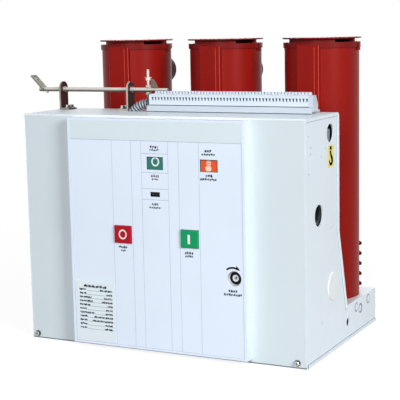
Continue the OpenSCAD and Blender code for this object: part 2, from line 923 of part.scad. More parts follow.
// Row of terminal blocks, each with a wire entry in front and a tooth on top
module terminal_blocks() {
    middle = [for (i = [0:block_n - 1]) row_l + (i + 0.5) * block_pitch];
    color([0.88, 0.92, 0.97]) difference() {
        union() {
            translate([0, strip_front, rail_top])
                side_view(strip_l, strip_r - strip_l) block_outline();
            for (x = middle)
                block([x - tooth_w / 2, strip_front + tooth_y, rail_top + block_h - eps],
                    [x + tooth_w / 2, strip_front + tooth_y + tooth_d, block_top]);
        }
        for (x = middle)
            translate([x, strip_front + entry_d, entry_mid]) rotate([90, 0, 0])
                linear_extrude(entry_d + 1) polygon([[-entry_w / 2, entry_h / 2],
                    [entry_w / 2, entry_h / 2], [entry_shift + entry_foot / 2, -entry_h / 2],
                    [entry_shift - entry_foot / 2, -entry_h / 2]]);
    }
}

// Rail under the blocks: a channel that is open at its ends and below
module terminal_rail() {
    color([0.85, 0.88, 0.92]) translate([0, strip_front, box_h]) side_view(rail_l, rail_r - rail_l)
        polygon([[0, 0], [0, rail_h], [strip_d, rail_h], [strip_d, 0], [strip_d - rail_wall, 0],
            [strip_d - rail_wall, rail_h - rail_wall], [rail_wall, rail_h - rail_wall],
            [rail_wall, 0]]);
}

// Left end plate, a little larger than the blocks' outline
module left_end_stop() {
    color([0.3, 0.32, 0.35]) translate([0, strip_front, rail_top]) side_view(strip_l - end_t, end_t)
        polygon([[-end_margin, 0], [strip_d, 0], [strip_d, block_foot],
            [strip_d - block_slope, block_h + end_margin], [2, block_h + end_margin],
            [-end_margin, block_h - 2]]);
}

// Right end stop, with a tongue over the rail's end
module right_end_stop() {
    color([0.8, 0.84, 0.88]) translate([0, strip_front, rail_top]) {
        side_view(strip_r, stop_t) polygon([[1, 0], [strip_d, 0], [strip_d, block_foot],
            [strip_d - stop_slope, block_h], [1.5, block_h], [0, block_h - 2], [0, undercut]]);
        side_view(rail_r, rail_wall) translate([2, -tongue_h]) square([strip_d - 4, tongue_h + eps]);
    }
}

// The conduit's bend as a plain tube of one diameter, from the rail's end into the box
module conduit_path(d) {
    translate([conduit_x, conduit_y, conduit_z - conduit_r]) rotate([90, 0, 0])
        rotate([0, 0, 90]) rotate_extrude(angle = plate_angle)
            translate([conduit_r, 0]) circle(d = d);
}

// Corrugated conduit: a bent tube with rings along it
module conduit() {
    step = plate_angle / conduit_n;
    color([0.42, 0.45, 0.5]) {
        conduit_path(conduit_d - 2 * conduit_rib);
        translate([conduit_x, conduit_y, conduit_z - conduit_r]) rotate([90, 0, 0])
            for (i = [0:conduit_n - 1])
                rotate([0, 0, 90 + (i + 0.25) * step]) rotate_extrude(angle = step / 2)
                    translate([conduit_r, 0]) circle(d = conduit_d);
    }
}

// A flat bar leaning outwards from the shaft's axis, with margin g all round
module lever_bar(g) {
    translate([lever_c, shaft_c, shaft_z]) rotate([0, -lever_lean, 0])
        block([-lever_t / 2 - g, -lever_w / 2 - g, 0], [lever_t / 2 + g, lever_w / 2 + g, lever_len]);
}

// Interlock shaft, slit for the lever, holed for the rod, with a thinner right end
module interlock_shaft() {
    color([0.6, 0.6, 0.53]) difference() {
        union() {
            rod_x_axis([shaft_l, shaft_c, shaft_z], shaft_d, shaft_step - shaft_l);
            rod_x_axis([shaft_step - eps, shaft_c, shaft_z], shaft_end_d, shaft_end + eps);
            for (x = [bracket_l + bracket_t + small, bracket_r + bracket_t + small])
                rod_x_axis([x, shaft_c, shaft_z], collar_d, collar_w);
        }
        lever_bar(0);
        translate([rod_c, shaft_c, shaft_z - shaft_d]) cylinder(d = rod_d, h = 2 * shaft_d);
    }
}

module interlock_lever() {
    color([0.58, 0.58, 0.5]) difference() {
        lever_bar(0);
        translate([lever_c, shaft_c, shaft_z]) rotate([0, -lever_lean, 0])
            for (dz = [0, slot_w - slot_len])
                translate([-lever_t, 0, lever_len - slot_margin - slot_w / 2 + dz])
                    rotate([0, 90, 0]) cylinder(d = slot_w, h = 2 * lever_t);
        translate([lever_c, shaft_c, shaft_z]) rotate([0, -lever_lean, 0])
            block([-lever_t, -slot_w / 2, lever_len - slot_margin - slot_len + slot_w / 2],
                [lever_t, slot_w / 2, lever_len - slot_margin - slot_w / 2]);
    }
}

// Threaded rod through the shaft, with its nuts and washer
module trip_rod() {
    color([0.7, 0.68, 0.62]) translate([rod_c, shaft_c, shaft_z]) {
        translate([0, 0, -rod_down]) cylinder(d = rod_d, h = rod_down + rod_up);
        for (z = [-shaft_d / 2 - nut_h, shaft_d / 2, upper_nut])
            translate([0, 0, z]) cylinder(d = nut_w / cos(30), h = nut_h, $fn = 6);
        translate([0, 0, upper_nut + nut_h]) cylinder(d = washer_d, h = washer_t);
    }
}

// Quarter-round plate standing on the shaft
module sector_plate() {
    color([0.5, 0.5, 0.48]) difference() {
        translate([sector_l, shaft_c + sector_t / 2, shaft_z]) rotate([90, 0, 0])
            linear_extrude(sector_t) intersection() {
                translate([-sector_shift, 0]) circle(sector_r);
                square(sector_r);
            }
        rod_x_axis([sector_l - 1, shaft_c, shaft_z], shaft_d, sector_r + 2);
    }
}

// Bracket: an upright strap with a round top and a foot; s is the foot's direction
module bracket(x, s) {
    color([0.36, 0.26, 0.24]) difference() {
        union() {
            side_view(x, bracket_t) union() {
                translate([shaft_c, shaft_z + bracket_up]) circle(d = bracket_w);
                translate([shaft_c - bracket_w / 2, box_h])
                    square([bracket_w, shaft_up + bracket_up]);
            }
            translate([s > 0 ? x : x + bracket_t - bracket_foot, shaft_c - bracket_w / 2, box_h])
                cube([bracket_foot, bracket_w, bracket_t]);
        }
        rod_x_axis([x - 1, shaft_c, shaft_z], shaft_d + 2 * shaft_gap, bracket_t + 2);
    }
}

module left_bracket() {
    bracket(bracket_l, 1);
}

module right_bracket() {
    bracket(bracket_r, -1);
}

front_plate();
left_side_plate();
right_side_plate();
top_plate();
rear_wall();
bottom_plate();
base_top_plate();
base_rear_rail();
front_panel();
header_strip();
rating_plate();
off_button();
on_button();
position_indicator();
spring_indicator();
operation_counter();
charging_collar();
charging_bezel();
charging_shaft();
left_plug();
right_plug();
left_cylinder();
middle_cylinder();
right_cylinder();
left_cap();
middle_cap();
right_cap();
left_upper_terminal();
middle_upper_terminal();
right_upper_terminal();
left_lower_terminal();
middle_lower_terminal();
right_lower_terminal();
terminal_blocks();
terminal_rail();
left_end_stop();
right_end_stop();
conduit();
interlock_shaft();
interlock_lever();
trip_rod();
sector_plate();
left_bracket();
right_bracket();
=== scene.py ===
import json
import math

import bmesh
import bpy
from mathutils import Matrix, Vector


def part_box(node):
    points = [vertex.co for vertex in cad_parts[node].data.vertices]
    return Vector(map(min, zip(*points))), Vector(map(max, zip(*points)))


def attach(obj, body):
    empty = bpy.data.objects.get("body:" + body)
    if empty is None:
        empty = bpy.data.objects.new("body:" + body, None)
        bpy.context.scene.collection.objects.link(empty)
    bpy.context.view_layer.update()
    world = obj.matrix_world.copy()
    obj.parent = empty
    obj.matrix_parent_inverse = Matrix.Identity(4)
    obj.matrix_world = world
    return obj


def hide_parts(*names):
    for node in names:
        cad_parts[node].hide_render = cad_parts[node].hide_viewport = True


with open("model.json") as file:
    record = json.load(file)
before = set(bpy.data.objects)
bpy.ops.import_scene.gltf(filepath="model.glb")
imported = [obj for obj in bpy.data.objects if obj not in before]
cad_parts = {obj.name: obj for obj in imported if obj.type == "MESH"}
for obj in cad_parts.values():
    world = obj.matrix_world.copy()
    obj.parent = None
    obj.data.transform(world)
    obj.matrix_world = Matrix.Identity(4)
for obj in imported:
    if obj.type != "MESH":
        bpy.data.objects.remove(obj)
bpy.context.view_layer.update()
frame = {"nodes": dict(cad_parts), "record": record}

scene = bpy.context.scene
mm = 0.001

# The camera
# It stands in front of the breaker and to the right, a little above the box,
# with a long lens, turned and levelled as the photograph's camera was.
frame_px = 400
focal_px = 1177.4
sensor_mm = 36.0
camera_at = Vector((1046.3, -2092.7, 614.4)) * mm
camera_turn = math.radians(26.797)
camera_dip = math.radians(8.486)
camera_roll = math.radians(-1.146)

camera_data = bpy.data.cameras.new("camera")
camera_data.sensor_width = sensor_mm
camera_data.lens = focal_px / frame_px * sensor_mm
camera_data.clip_end = 50
camera = bpy.data.objects.new("camera", camera_data)
scene.collection.objects.link(camera)
camera.matrix_world = (Matrix.Translation(camera_at)
    @ Matrix.Rotation(camera_turn, 4, "Z")
    @ Matrix.Rotation(math.pi / 2 - camera_dip, 4, "X")
    @ Matrix.Rotation(camera_roll, 4, "Z"))
scene.camera = camera
scene.view_settings.view_transform = "Standard"

# The studio
# A pale floor that runs into a white backdrop, a large soft lamp in front, a
# second one from the right and weak ones from above and behind.
world_strength = 0.2
floor_grey, floor_glow = 0.24, 0.85
fade_near, fade_far = 0.5, 1.6


def lamp(name, at, size, power, aim=(0, 0, 0.28)):
    """A square soft lamp that faces a point of the breaker."""
    data = bpy.data.lights.new(name, "AREA")
    data.size = size
    data.energy = power
    place = bpy.data.objects.new(name, data)
    place.location = at
    place.rotation_euler = (Vector(aim) - Vector(at)).to_track_quat("-Z", "Y").to_euler()
    scene.collection.objects.link(place)


def plug(tree, node, **inputs):
    """Sets or links a node's inputs, each told by its name, or by i and its number."""
    for key, value in inputs.items():
        socket = node.inputs[int(key[1:]) if key[1:].isdigit() else key.replace("_", " ")]
        if isinstance(value, bpy.types.NodeSocket):
            tree.links.new(value, socket)
        else:
            socket.default_value = value
    return node


def add_node(tree, kind, settings=None, **inputs):
    """Adds a node to a tree, with its settings and inputs."""
    node = tree.nodes.new(kind)
    for key, value in (settings or {}).items():
        setattr(node, key, value)
    return plug(tree, node, **inputs)


def ramp(tree, value, low, high, start, end):
    """A value moved from one range to another."""
    return add_node(tree, "ShaderNodeMapRange", Value=value, From_Min=start, From_Max=end,
                    To_Min=low, To_Max=high).outputs[0]


def seen_directly(tree):
    """1 for rays from the camera and for reflections, 0 for the light that falls on things."""
    path = add_node(tree, "ShaderNodeLightPath")
    seen = path.outputs["Is Camera Ray"]
    for ray in ("Is Glossy Ray", "Is Transmission Ray"):
        seen = add_node(tree, "ShaderNodeMath", {"operation": "MAXIMUM"}, i0=seen,
                        i1=path.outputs[ray]).outputs[0]
    return seen


lamp("front lamp", (0.7, -4.8, 2.0), 2.2, 143, (0, 0, 0.4))
lamp("side lamp", (4.2, -2.4, 1.9), 1.5, 182, (0, 0, 0.4))
lamp("top lamp", (0.2, 0.4, 3.2), 2.0, 4)
lamp("rear lamp", (-1.0, 3.4, 1.7), 2.4, 46)

world = bpy.data.worlds.new("studio")
scene.world = world
world.use_nodes = True
world_tree = world.node_tree
world_tree.nodes.clear()
fill = add_node(world_tree, "ShaderNodeBackground", Color=(0.96, 0.98, 1, 1), Strength=world_strength)
white = add_node(world_tree, "ShaderNodeBackground", Color=(1, 1, 1, 1))
backdrop = add_node(world_tree, "ShaderNodeMixShader", i0=seen_directly(world_tree),
                    i1=fill.outputs[0], i2=white.outputs[0])
add_node(world_tree, "ShaderNodeOutputWorld", Surface=backdrop.outputs[0])

floor_mesh = bpy.data.meshes.new("floor")
floor_mesh.from_pydata([(-9, -9, 0), (9, -9, 0), (9, 12, 0), (-9, 12, 0)], [], [(0, 1, 2, 3)])
floor = bpy.data.objects.new("floor", floor_mesh)
scene.collection.objects.link(floor)
floor_paint = bpy.data.materials.new("floor")
floor_paint.use_nodes = True
floor_tree = floor_paint.node_tree
floor_place = add_node(floor_tree, "ShaderNodeTexCoord").outputs["Object"]
away = add_node(floor_tree, "ShaderNodeVectorMath", {"operation": "LENGTH"},
                i0=floor_place).outputs["Value"]
glow = add_node(floor_tree, "ShaderNodeMath", {"operation": "MULTIPLY"}, i0=seen_directly(floor_tree),
                i1=ramp(floor_tree, away, floor_glow, 1.0, fade_near, fade_far))
plug(floor_tree, floor_tree.nodes["Principled BSDF"], Roughness=0.9, Specular_IOR_Level=0,
     Base_Color=ramp(floor_tree, away, floor_grey, 0.0, fade_near, fade_far),
     Emission_Color=(1, 1, 1, 1), Emission_Strength=glow.outputs[0])
floor_mesh.materials.append(floor_paint)


# The sheet-metal box and base
# Folded steel sheet with a pale grey powder coat: front, sides, top, rear wall
# and the low base behind. Cut edges are deburred and folds are round.
round_cut, round_lip = 0.5, 1.3
top_fold, front_fold, fold_foot = 4, 1.3, 8
small_hole_d = 4.6
small_holes = [(14.7, 416), (23.4, 395.7), (23.3, 384.2), (99.3, 386.5), (75.7, 373.7), (14, 349),
               (121, 237), (131.7, 237.5), (76, 66.8), (358, 14)]


def linear(r, g, b):
    """A colour from its 0 to 255 screen values."""
    def one(c):
        c = c / 255
        return c / 12.92 if c <= 0.04045 else ((c + 0.055) / 1.055) ** 2.4
    return (one(r), one(g), one(b), 1)


def noise(tree, place, scale, detail=3, roughness=0.5):
    """A noise pattern on a piece, read from a place vector."""
    return add_node(tree, "ShaderNodeTexNoise", Vector=place, Scale=scale, Detail=detail,
                    Roughness=roughness).outputs["Fac"]


def start_finish(name, stretch=(1, 1, 1)):
    """A new material with its shader and the piece's own place, stretched along its axes."""
    mat = bpy.data.materials.new(name)
    mat.use_nodes = True
    tree = mat.node_tree
    place = add_node(tree, "ShaderNodeTexCoord").outputs["Object"]
    turn = add_node(tree, "ShaderNodeMapping", Vector=place, Scale=stretch)
    return mat, tree, tree.nodes["Principled BSDF"], turn.outputs[0]


def shade(tree, factor, colour, second=None):
    """A colour times a pattern. A second colour comes in by the tone that the mesh's faces store."""
    base = linear(*colour)[:3]
    if second:
        stored = add_node(tree, "ShaderNodeAttribute", {"attribute_name": "tone"})
        base = add_node(tree, "ShaderNodeMix", {"data_type": "RGBA"}, i0=stored.outputs["Fac"],
                        i6=linear(*colour), i7=linear(*second)).outputs[2]
    return add_node(tree, "ShaderNodeVectorMath", {"operation": "SCALE"}, i0=base,
                    Scale=factor).outputs[0]


def relief(tree, height, strength, distance):
    """A bump from a height pattern, with its depth in millimetres."""
    return add_node(tree, "ShaderNodeBump", Height=height, Strength=strength,
                    Distance=distance * mm).outputs[0]


def powder_coat(name, colour, second=None, roughness=0.42, peel=0.16):
    """Baked powder coat: a fine orange peel, an even colour and faint handling marks in the gloss."""
    mat, tree, shader, place = start_finish(name)
    fine, wipe = noise(tree, place, 750, 3, 0.55), noise(tree, place, 28, 5, 0.65)
    slow = ramp(tree, noise(tree, place, 5, 4, 0.6), 0.975, 1.02, 0.3, 0.7)
    plug(tree, shader, Base_Color=shade(tree, slow, colour, second),
         Roughness=ramp(tree, wipe, roughness - 0.05, roughness + 0.09, 0.3, 0.75),
         Normal=relief(tree, fine, peel, 0.12), Specular_IOR_Level=0.22)
    return mat


def link_piece(name, mesh):
    """A new object at the origin for a mesh that is already in place."""
    piece = bpy.data.objects.new(name, mesh)
    scene.collection.objects.link(piece)
    return piece


def built(name, work):
    """A new object from a mesh that bmesh has built."""
    mesh = bpy.data.meshes.new(name)
    work.to_mesh(mesh)
    work.free()
    return link_piece(name, mesh)


def settle(piece, break_angle=None):
    """Turns a piece's modifiers into plain mesh, and breaks its smooth faces at sharp edges."""
    graph = bpy.context.evaluated_depsgraph_get()
    mesh = bpy.data.meshes.new_from_object(piece.evaluated_get(graph))
    piece.modifiers.clear()
    piece.data = mesh
    if break_angle:
        mesh.polygons.foreach_set("use_smooth", [True] * len(mesh.polygons))
        mesh.set_sharp_from_angle(angle=math.radians(break_angle))
    return piece


def fit(piece, mat=None, body="cabinet"):
    """Gives a finished piece its material and its slot, and sets it on its body."""
    if mat:
        piece.data.materials.clear()
        piece.data.materials.append(mat)
    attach(piece, body)
    return piece


def drilled(piece, axis, centres, diameter):
    """Cuts round holes through a plate along one axis of the frame."""
    cutter = bmesh.new()
    turn = Matrix.Rotation(math.pi / 2, 4, "Y" if axis == "X" else "X")
    for centre in centres:
        bmesh.ops.create_cone(cutter, cap_ends=True, segments=20, radius1=diameter / 2 * mm,
                              radius2=diameter / 2 * mm, depth=12 * mm,
                              matrix=Matrix.Translation(Vector(centre) * mm) @ turn)
    drill = built("drill", cutter)
    cut = piece.modifiers.new("drill", "BOOLEAN")
    cut.object = drill
    cut.operation = "DIFFERENCE"
    settle(piece)
    bpy.data.objects.remove(drill)


body_of_node = {n: b for b, ns in frame["record"]["behaviour"]["bodies"].items() for n in ns}


def mark_faces(piece, test):
    """Stores a tone from 0 to 1 on each face, by its middle in mm and the way it faces; the second
    colours it calls in paint light and shade.
    """
    told = piece.data.attributes.new("tone", "FLOAT", "FACE")
    told.data.foreach_set("value", [float(test(face.center / mm, face.normal))
                                    for face in piece.data.polygons])


def dress(node, mat, edge=0.5, steps=2, holes=None):
    """A copy of a solid with its edges rounded and a finish, shown in the solid's place."""
    mesh = frame["nodes"][node].data.copy()
    mesh.materials.clear()
    work = bmesh.new()
    work.from_mesh(mesh)
    bmesh.ops.remove_doubles(work, verts=work.verts, dist=0.002 * mm)
    bmesh.ops.dissolve_limit(work, angle_limit=math.radians(0.5), verts=work.verts, edges=work.edges)
    work.to_mesh(mesh)
    work.free()
    piece = link_piece(node + ".shape", mesh)
    if holes:
        drilled(piece, *holes)
    piece.data.polygons.foreach_set("use_smooth", [True] * len(piece.data.polygons))
    piece.data.set_sharp_from_angle(angle=math.radians(35))
    if edge:
        rounded = piece.modifiers.new("edge", "BEVEL")
        rounded.width = edge * mm
        rounded.segments = steps
        rounded.limit_method = "ANGLE"
        rounded.angle_limit = math.radians(40)
        even = piece.modifiers.new("even", "WEIGHTED_NORMAL")
        even.keep_sharp = True
        settle(piece)
    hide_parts(node)
    return fit(piece, mat, body_of_node[node])


front_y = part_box("front_plate")[0].y / mm
half_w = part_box("right_side_plate")[1].x / mm
box_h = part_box("top_plate")[1].z / mm

box_coat = powder_coat("grey powder coat", (211, 222, 228), (250, 252, 253))
# The side, top and base sheets take a lighter copy of the front plate's grey coat: painted light. Its
# second, darker colour is painted shade on the front folds of the side plates.
lit_side_coat = powder_coat("side coat with painted light", (233, 243, 251), (218, 228, 236))
lip_coat_with_highlight = powder_coat("lip coat with painted highlight", (233, 243, 251), (251, 252, 253))
foot_coat_with_shadow = powder_coat("foot coat with painted shadow", (229, 239, 247), (124, 134, 142))
front_sheet = dress("front_plate", box_coat, 1)
# The upward faces at the top fold of the front plate take the near-white second colour: a painted
# highlight.
mark_faces(front_sheet, lambda at, way: way.z > 0.3 and at.z > box_h - top_fold)
for node, side in (("left_side_plate", -1), ("right_side_plate", 1)):
    places = [(side * (half_w - 1), front_y + y, z) for y, z in small_holes]
    plate = dress(node, lit_side_coat, 1.1, 3, holes=("X", places, small_hole_d))
    # The front fold of each side plate takes the darker second colour: painted shade.
    mark_faces(plate, lambda at, way: at.y < front_y + front_fold and at.z > fold_foot)
for node in ("top_plate", "base_top_plate", "base_rear_rail"):
    dress(node, lit_side_coat, round_cut)
# The bottom plate's front faces take the dark second colour: painted shadow under the panel.
mark_faces(dress("bottom_plate", foot_coat_with_shadow, round_cut), lambda at, way: way.y < -0.5)
# The rear wall takes the same lighter copy of the front's coat, painted light, and the outer faces and
# folds of its lips take the near-white second colour, a painted highlight.
rear_sheet = dress("rear_wall", lip_coat_with_highlight, round_lip, 3)
mark_faces(rear_sheet, lambda at, way: abs(at.x) > half_w - 0.5 and abs(way.y) > 0.05)


# Joints between the folded sheets
# Where a lip lies on a side plate, a fine dark line of painted shade follows the
# top lip, the bottom lip and the rear lip, and a short one lies under the rear lip's foot.
rear_lip = [(-34.5, 441), (-34.5, 225.4), (11.6, 64.4)]
lip_foot = [(11.8, 63.9), (20.6, 63.9)]
joint_t = 0.2
top_joint, foot_joint = (box_h - 6.9, box_h - 6), (6, 7.1)
joint_back, foot_joint_back = -34.6, 191.5


def plates(name, boxes):
    """Rectangular plates between pairs of corners, as one mesh."""
    work = bmesh.new()
    for low, high in boxes:
        low, high = Vector(low) * mm, Vector(high) * mm
        bmesh.ops.create_cube(work, size=1, matrix=Matrix.LocRotScale(
            (low + high) / 2, None, high - low))
    return built(name, work)


def moulded(name, colour, roughness=0.38, grain=420, texture=0.06, drift=0.02, specular=0.25,
            second=None):
    """Moulded plastic: a fine even texture, and slight changes of its colour and gloss."""
    mat, tree, shader, place = start_finish(name)
    fine = noise(tree, place, grain)
    slow = ramp(tree, noise(tree, place, 16), 1 - drift, 1 + drift, 0.3, 0.7)
    plug(tree, shader, Base_Color=shade(tree, slow, colour, second),
         Roughness=ramp(tree, fine, roughness - 0.05, roughness + 0.06, 0.3, 0.7),
         Normal=relief(tree, fine, texture, 0.06), Specular_IOR_Level=specular)
    return mat


def stroke(name, points, width, depth, face, axis="Y", taper=None):
    """A flat band along a line of points on a face, of one width or of a width at each point."""
    work = bmesh.new()
    rows = []
    for i, p in enumerate(points):
        a = Vector(points[max(i - 1, 0)])
        b = Vector(points[min(i + 1, len(points) - 1)])
        along = (b - a).normalized()
        side = Vector((-along.y, along.x)) * (taper[i] if taper else width) / 2
        row = []
        for q in (Vector(p) + side, Vector(p) - side):
            for d in (0, depth):
                at = (q.x, face - d, q.y) if axis == "Y" else (face + d, q.x, q.y)
                row.append(work.verts.new(Vector(at) * mm))
        rows.append(row)
    for r, s in zip(rows, rows[1:]):
        for a, b in ((0, 1), (1, 3), (3, 2), (2, 0)):
            work.faces.new((r[a], r[b], s[b], s[a]))
    for r in (rows[0], rows[-1]):
        work.faces.new((r[0], r[1], r[3], r[2]))
    bmesh.ops.recalc_face_normals(work, faces=work.faces)
    return built(name, work)


def merged(name, pieces):
    """Joins pieces into one, by their meshes."""
    work = bmesh.new()
    for piece in pieces:
        work.from_mesh(piece.data)
        bpy.data.objects.remove(piece)
    return built(name, work)


# Painted shade: a darker line along the top and bottom lips and under the foot of the rear lip, and a
# softer one beside the rear lip.
joint_shade_dark = moulded("painted joint shadow", (126, 140, 154), 0.7, drift=0.15)
joint_shade_soft = moulded("lip shadow", (160, 173, 184), 0.6, drift=0.05)
for side, word in ((-1, "left"), (1, "right")):
    near, far = sorted((side * half_w, side * (half_w + joint_t)))
    long_joints = plates("long", [((near, front_y + 1, top_joint[0]), (far, joint_back, top_joint[1])),
                                  ((near, front_y + 5, foot_joint[0]),
                                   (far, foot_joint_back, foot_joint[1]))])
    lip_joint = stroke("foot", lip_foot, 1.3, joint_t, near, "X")
    fit(merged(word + "_sheet_joint_shadows", [long_joints, lip_joint]), joint_shade_dark)
    fit(stroke(word + "_lip_shadow", rear_lip, 1.6, joint_t, near, "X"), joint_shade_soft)


# Dark frame of the mechanism inside the box
# Blackened steel plates that carry the springs and the shafts. They are near black,
# so they also stand for the shade inside the box, and the pair behind the base's
# vent holes is only a dark backing: painted shade. Only their dark faces and a
# grey spring hanger on each show through the side holes.
frame_t = 3
frame_foot = 2.2
frame_head = box_h - 12


def burnished_steel(name, colour, roughness=0.45, metal=0.9, stretch=(1, 1, 1), grain=300, drift=0.25,
                    second=None):
    """Plated or burnished steel: drawn marks along one axis and cloudy changes of its colour."""
    mat, tree, shader, place = start_finish(name, stretch)
    marks = noise(tree, place, grain, 4, 0.6)
    cloud = ramp(tree, noise(tree, place, 45, 4, 0.6), 1 - drift, 1 + drift, 0.25, 0.75)
    plug(tree, shader, Base_Color=shade(tree, cloud, colour, second),
         Roughness=ramp(tree, marks, roughness - 0.1, roughness + 0.12, 0.3, 0.7),
         Normal=relief(tree, marks, 0.12, 0.08), Metallic=metal)
    return mat


def mirrored(middle, half_t, low, high):
    """Two boxes, one on each side of the breaker, between two corners in y and z."""
    return [((s * middle - half_t, *low), (s * middle + half_t, *high)) for s in (-1, 1)]


frame_steel_and_shade = burnished_steel("blackened steel and painted shade", (38, 40, 42), 0.5, 0.5)
hanger_grey = burnished_steel("spring hanger", (132, 146, 152), 0.5, 0.2, drift=0.15)
mechanism = plates("mechanism_frame",
    mirrored(half_w - 14, frame_t / 2, (front_y + 12, frame_foot), (front_y + 150, frame_head)) +
    mirrored(half_w - 9, 1, (front_y + 200, frame_foot), (front_y + 266, 58)) +
    [((8 - half_w, -31.5, 80), (half_w - 8, -28.2, frame_head))])
fit(mechanism, frame_steel_and_shade)
hangers = plates("spring_hangers",
    mirrored(half_w - 10, 4.5, (front_y + 109, 394), (front_y + 134, 420)))
fit(hangers, hanger_grey)


# Bolts of the front plate
# Hexagon-head steel bolts with a spring washer and a flat washer, zinc-plated.
# One holds each lower corner of the front plate.
class Tree:
    """A Geometry Nodes tree that is being built, with short words for its steps."""

    def __init__(self, name, **inputs):
        self.group = bpy.data.node_groups.new(name, "GeometryNodeTree")
        face = self.group.interface
        face.new_socket("Geometry", in_out="INPUT", socket_type="NodeSocketGeometry")
        for label, value in inputs.items():
            kind = ("NodeSocketMaterial" if value is None else
                    "NodeSocketInt" if isinstance(value, int) else "NodeSocketFloat")
            socket = face.new_socket(label, in_out="INPUT", socket_type=kind)
            if value is not None:
                socket.default_value = value
        face.new_socket("Geometry", in_out="OUTPUT", socket_type="NodeSocketGeometry")
        self.given = self.group.nodes.new("NodeGroupInput")
        self.out = self.group.nodes.new("NodeGroupOutput")

    def size(self, label):
        return self.given.outputs[label]

    def step(self, kind, out=0, settings=None, **inputs):
        """Adds a node, sets or links its inputs, and gives one of its outputs."""
        return add_node(self.group, kind, settings, **inputs).outputs[out]

    def math(self, operation, a, b=0.0):
        return self.step("ShaderNodeMath", settings={"operation": operation}, i0=a, i1=b)

    def times(self, a, b):
        return self.math("MULTIPLY", a, b)

    def vector(self, x=0.0, y=0.0, z=0.0):
        return self.step("ShaderNodeCombineXYZ", X=x, Y=y, Z=z)

    def moved(self, shape, x=0.0, y=0.0, z=0.0):
        return self.step("GeometryNodeTransform", Geometry=shape, Translation=self.vector(x, y, z))

    def joined(self, *shapes):
        node = self.group.nodes.new("GeometryNodeJoinGeometry")
        for shape in shapes:
            self.group.links.new(shape, node.inputs[0])
        return node.outputs[0]

    def placed(self, shape):
        """Sets a shape on each point, turned so that its Z points along the point's facing."""
        facing = self.step("GeometryNodeInputNamedAttribute", settings={"data_type": "FLOAT_VECTOR"},
                           Name="facing")
        turn = self.step("FunctionNodeAlignRotationToVector", settings={"axis": "Z"}, Vector=facing)
        return self.step("GeometryNodeInstanceOnPoints", Points=self.size("Geometry"), Instance=shape,
                         Rotation=turn)

    def finish(self, shape):
        """Ends the tree with real geometry in the given material."""
        real = self.step("GeometryNodeRealizeInstances", Geometry=shape)
        done = self.step("GeometryNodeSetMaterial", Geometry=real, Material=self.size("Material"))
        self.group.links.new(done, self.out.inputs[0])
        return self.group


def run_tree(name, tree, mesh, break_angle, values):
    """Runs a tree on a mesh of points, with its inputs set by their names, and gives plain mesh."""
    piece = link_piece(name, mesh)
    growth = piece.modifiers.new("growth", "NODES")
    growth.node_group = tree
    for item in tree.interface.items_tree:
        if item.item_type == "SOCKET" and item.in_out == "INPUT" and item.name in values:
            growth[item.identifier] = values[item.name]
    return settle(piece, break_angle)


def grow(name, tree, points, facing=(0, 0, 1), break_angle=35, **values):
    """Runs a tree on points that face one way."""
    mesh = bpy.data.meshes.new(name)
    mesh.from_pydata([Vector(p) * mm for p in points], [], [])
    told = mesh.attributes.new("facing", "FLOAT_VECTOR", "POINT")
    told.data.foreach_set("vector", list(facing) * len(points))
    return run_tree(name, tree, mesh, break_angle, values)


def bolt_tree():
    """A bolt on each point: flat washer, spring washer and a chamfered head with a socket."""
    t = Tree("bolt", Flats=8 * mm, Head=5 * mm, Washer=7 * mm, Sheet=1 * mm, Spring=1.2 * mm,
             Socket=0.5, Material=None)
    corner = t.times(t.size("Flats"), 1 / math.sqrt(3))
    chamfer = t.times(t.size("Head"), 0.14)
    under = t.math("ADD", t.size("Sheet"), t.size("Spring"))
    straight = t.math("SUBTRACT", t.size("Head"), chamfer)
    hexagon = add_node(t.group, "GeometryNodeMeshCylinder", Vertices=6, Radius=corner, Depth=straight)
    shape, top = hexagon.outputs["Mesh"], hexagon.outputs["Top"]
    for rise, width in ((chamfer, 0.87), (0.0, t.size("Socket")),
                        (t.times(t.size("Head"), -0.5), 0.96)):
        pulled = add_node(t.group, "GeometryNodeExtrudeMesh", Mesh=shape, Selection=top,
                          Offset_Scale=rise)
        top = pulled.outputs["Top"]
        shape = t.step("GeometryNodeScaleElements", Geometry=pulled.outputs["Mesh"], Selection=top,
                       Scale=width)
    head = t.moved(shape, z=t.math("ADD", under, t.times(straight, 0.5)))
    flat = t.moved(t.step("GeometryNodeMeshCylinder", Vertices=28, Radius=t.size("Washer"),
                          Depth=t.size("Sheet")), z=t.times(t.size("Sheet"), 0.5))
    spring = t.moved(t.step("GeometryNodeMeshCylinder", Vertices=24,
                            Radius=t.times(t.size("Flats"), 0.62), Depth=t.size("Spring")),
                     z=t.math("ADD", t.size("Sheet"), t.times(t.size("Spring"), 0.5)))
    return t.finish(t.placed(t.joined(head, flat, spring)))


bolt = bolt_tree()
# Its second, dark colour is painted shade on the bolts that store a tone.
zinc_bolt_and_shade = burnished_steel("zinc bolt", (206, 209, 208), 0.3, 0.5, second=(58, 62, 62))


def bolts(name, places, way, flats, head, washer, sheet, spring, socket):
    """Zinc-plated bolts that face one way, with the sizes of their heads and washers in mm."""
    return grow(name, bolt, places, way, Flats=flats * mm, Head=head * mm, Washer=washer * mm,
                Sheet=sheet * mm, Spring=spring * mm, Socket=socket, Material=zinc_bolt_and_shade)


bolt_mid, bolt_reach = (-3, 9.6), 279
head_r, socket_r = 4.9, 2.2


def corner_bolt_shade(at, way):
    """Painted shade on bright heads: dark sides and a grey socket, on darker washers."""
    off_axis = math.hypot(abs(at.x - bolt_mid[0]) - bolt_reach, at.z - bolt_mid[1])
    if abs(way.y) < 0.5:
        return 1
    return 0.4 if off_axis > head_r else 0.7 if off_axis < socket_r else 0.1


corner_bolts = bolts("front_plate_bolts", [(-282.1, front_y, 9.2), (275.8, front_y, 10)], (0, -1, 0),
                     8, 3.5, 6.2, 0.8, 0.8, 0.55)
mark_faces(corner_bolts, corner_bolt_shade)
fit(corner_bolts)


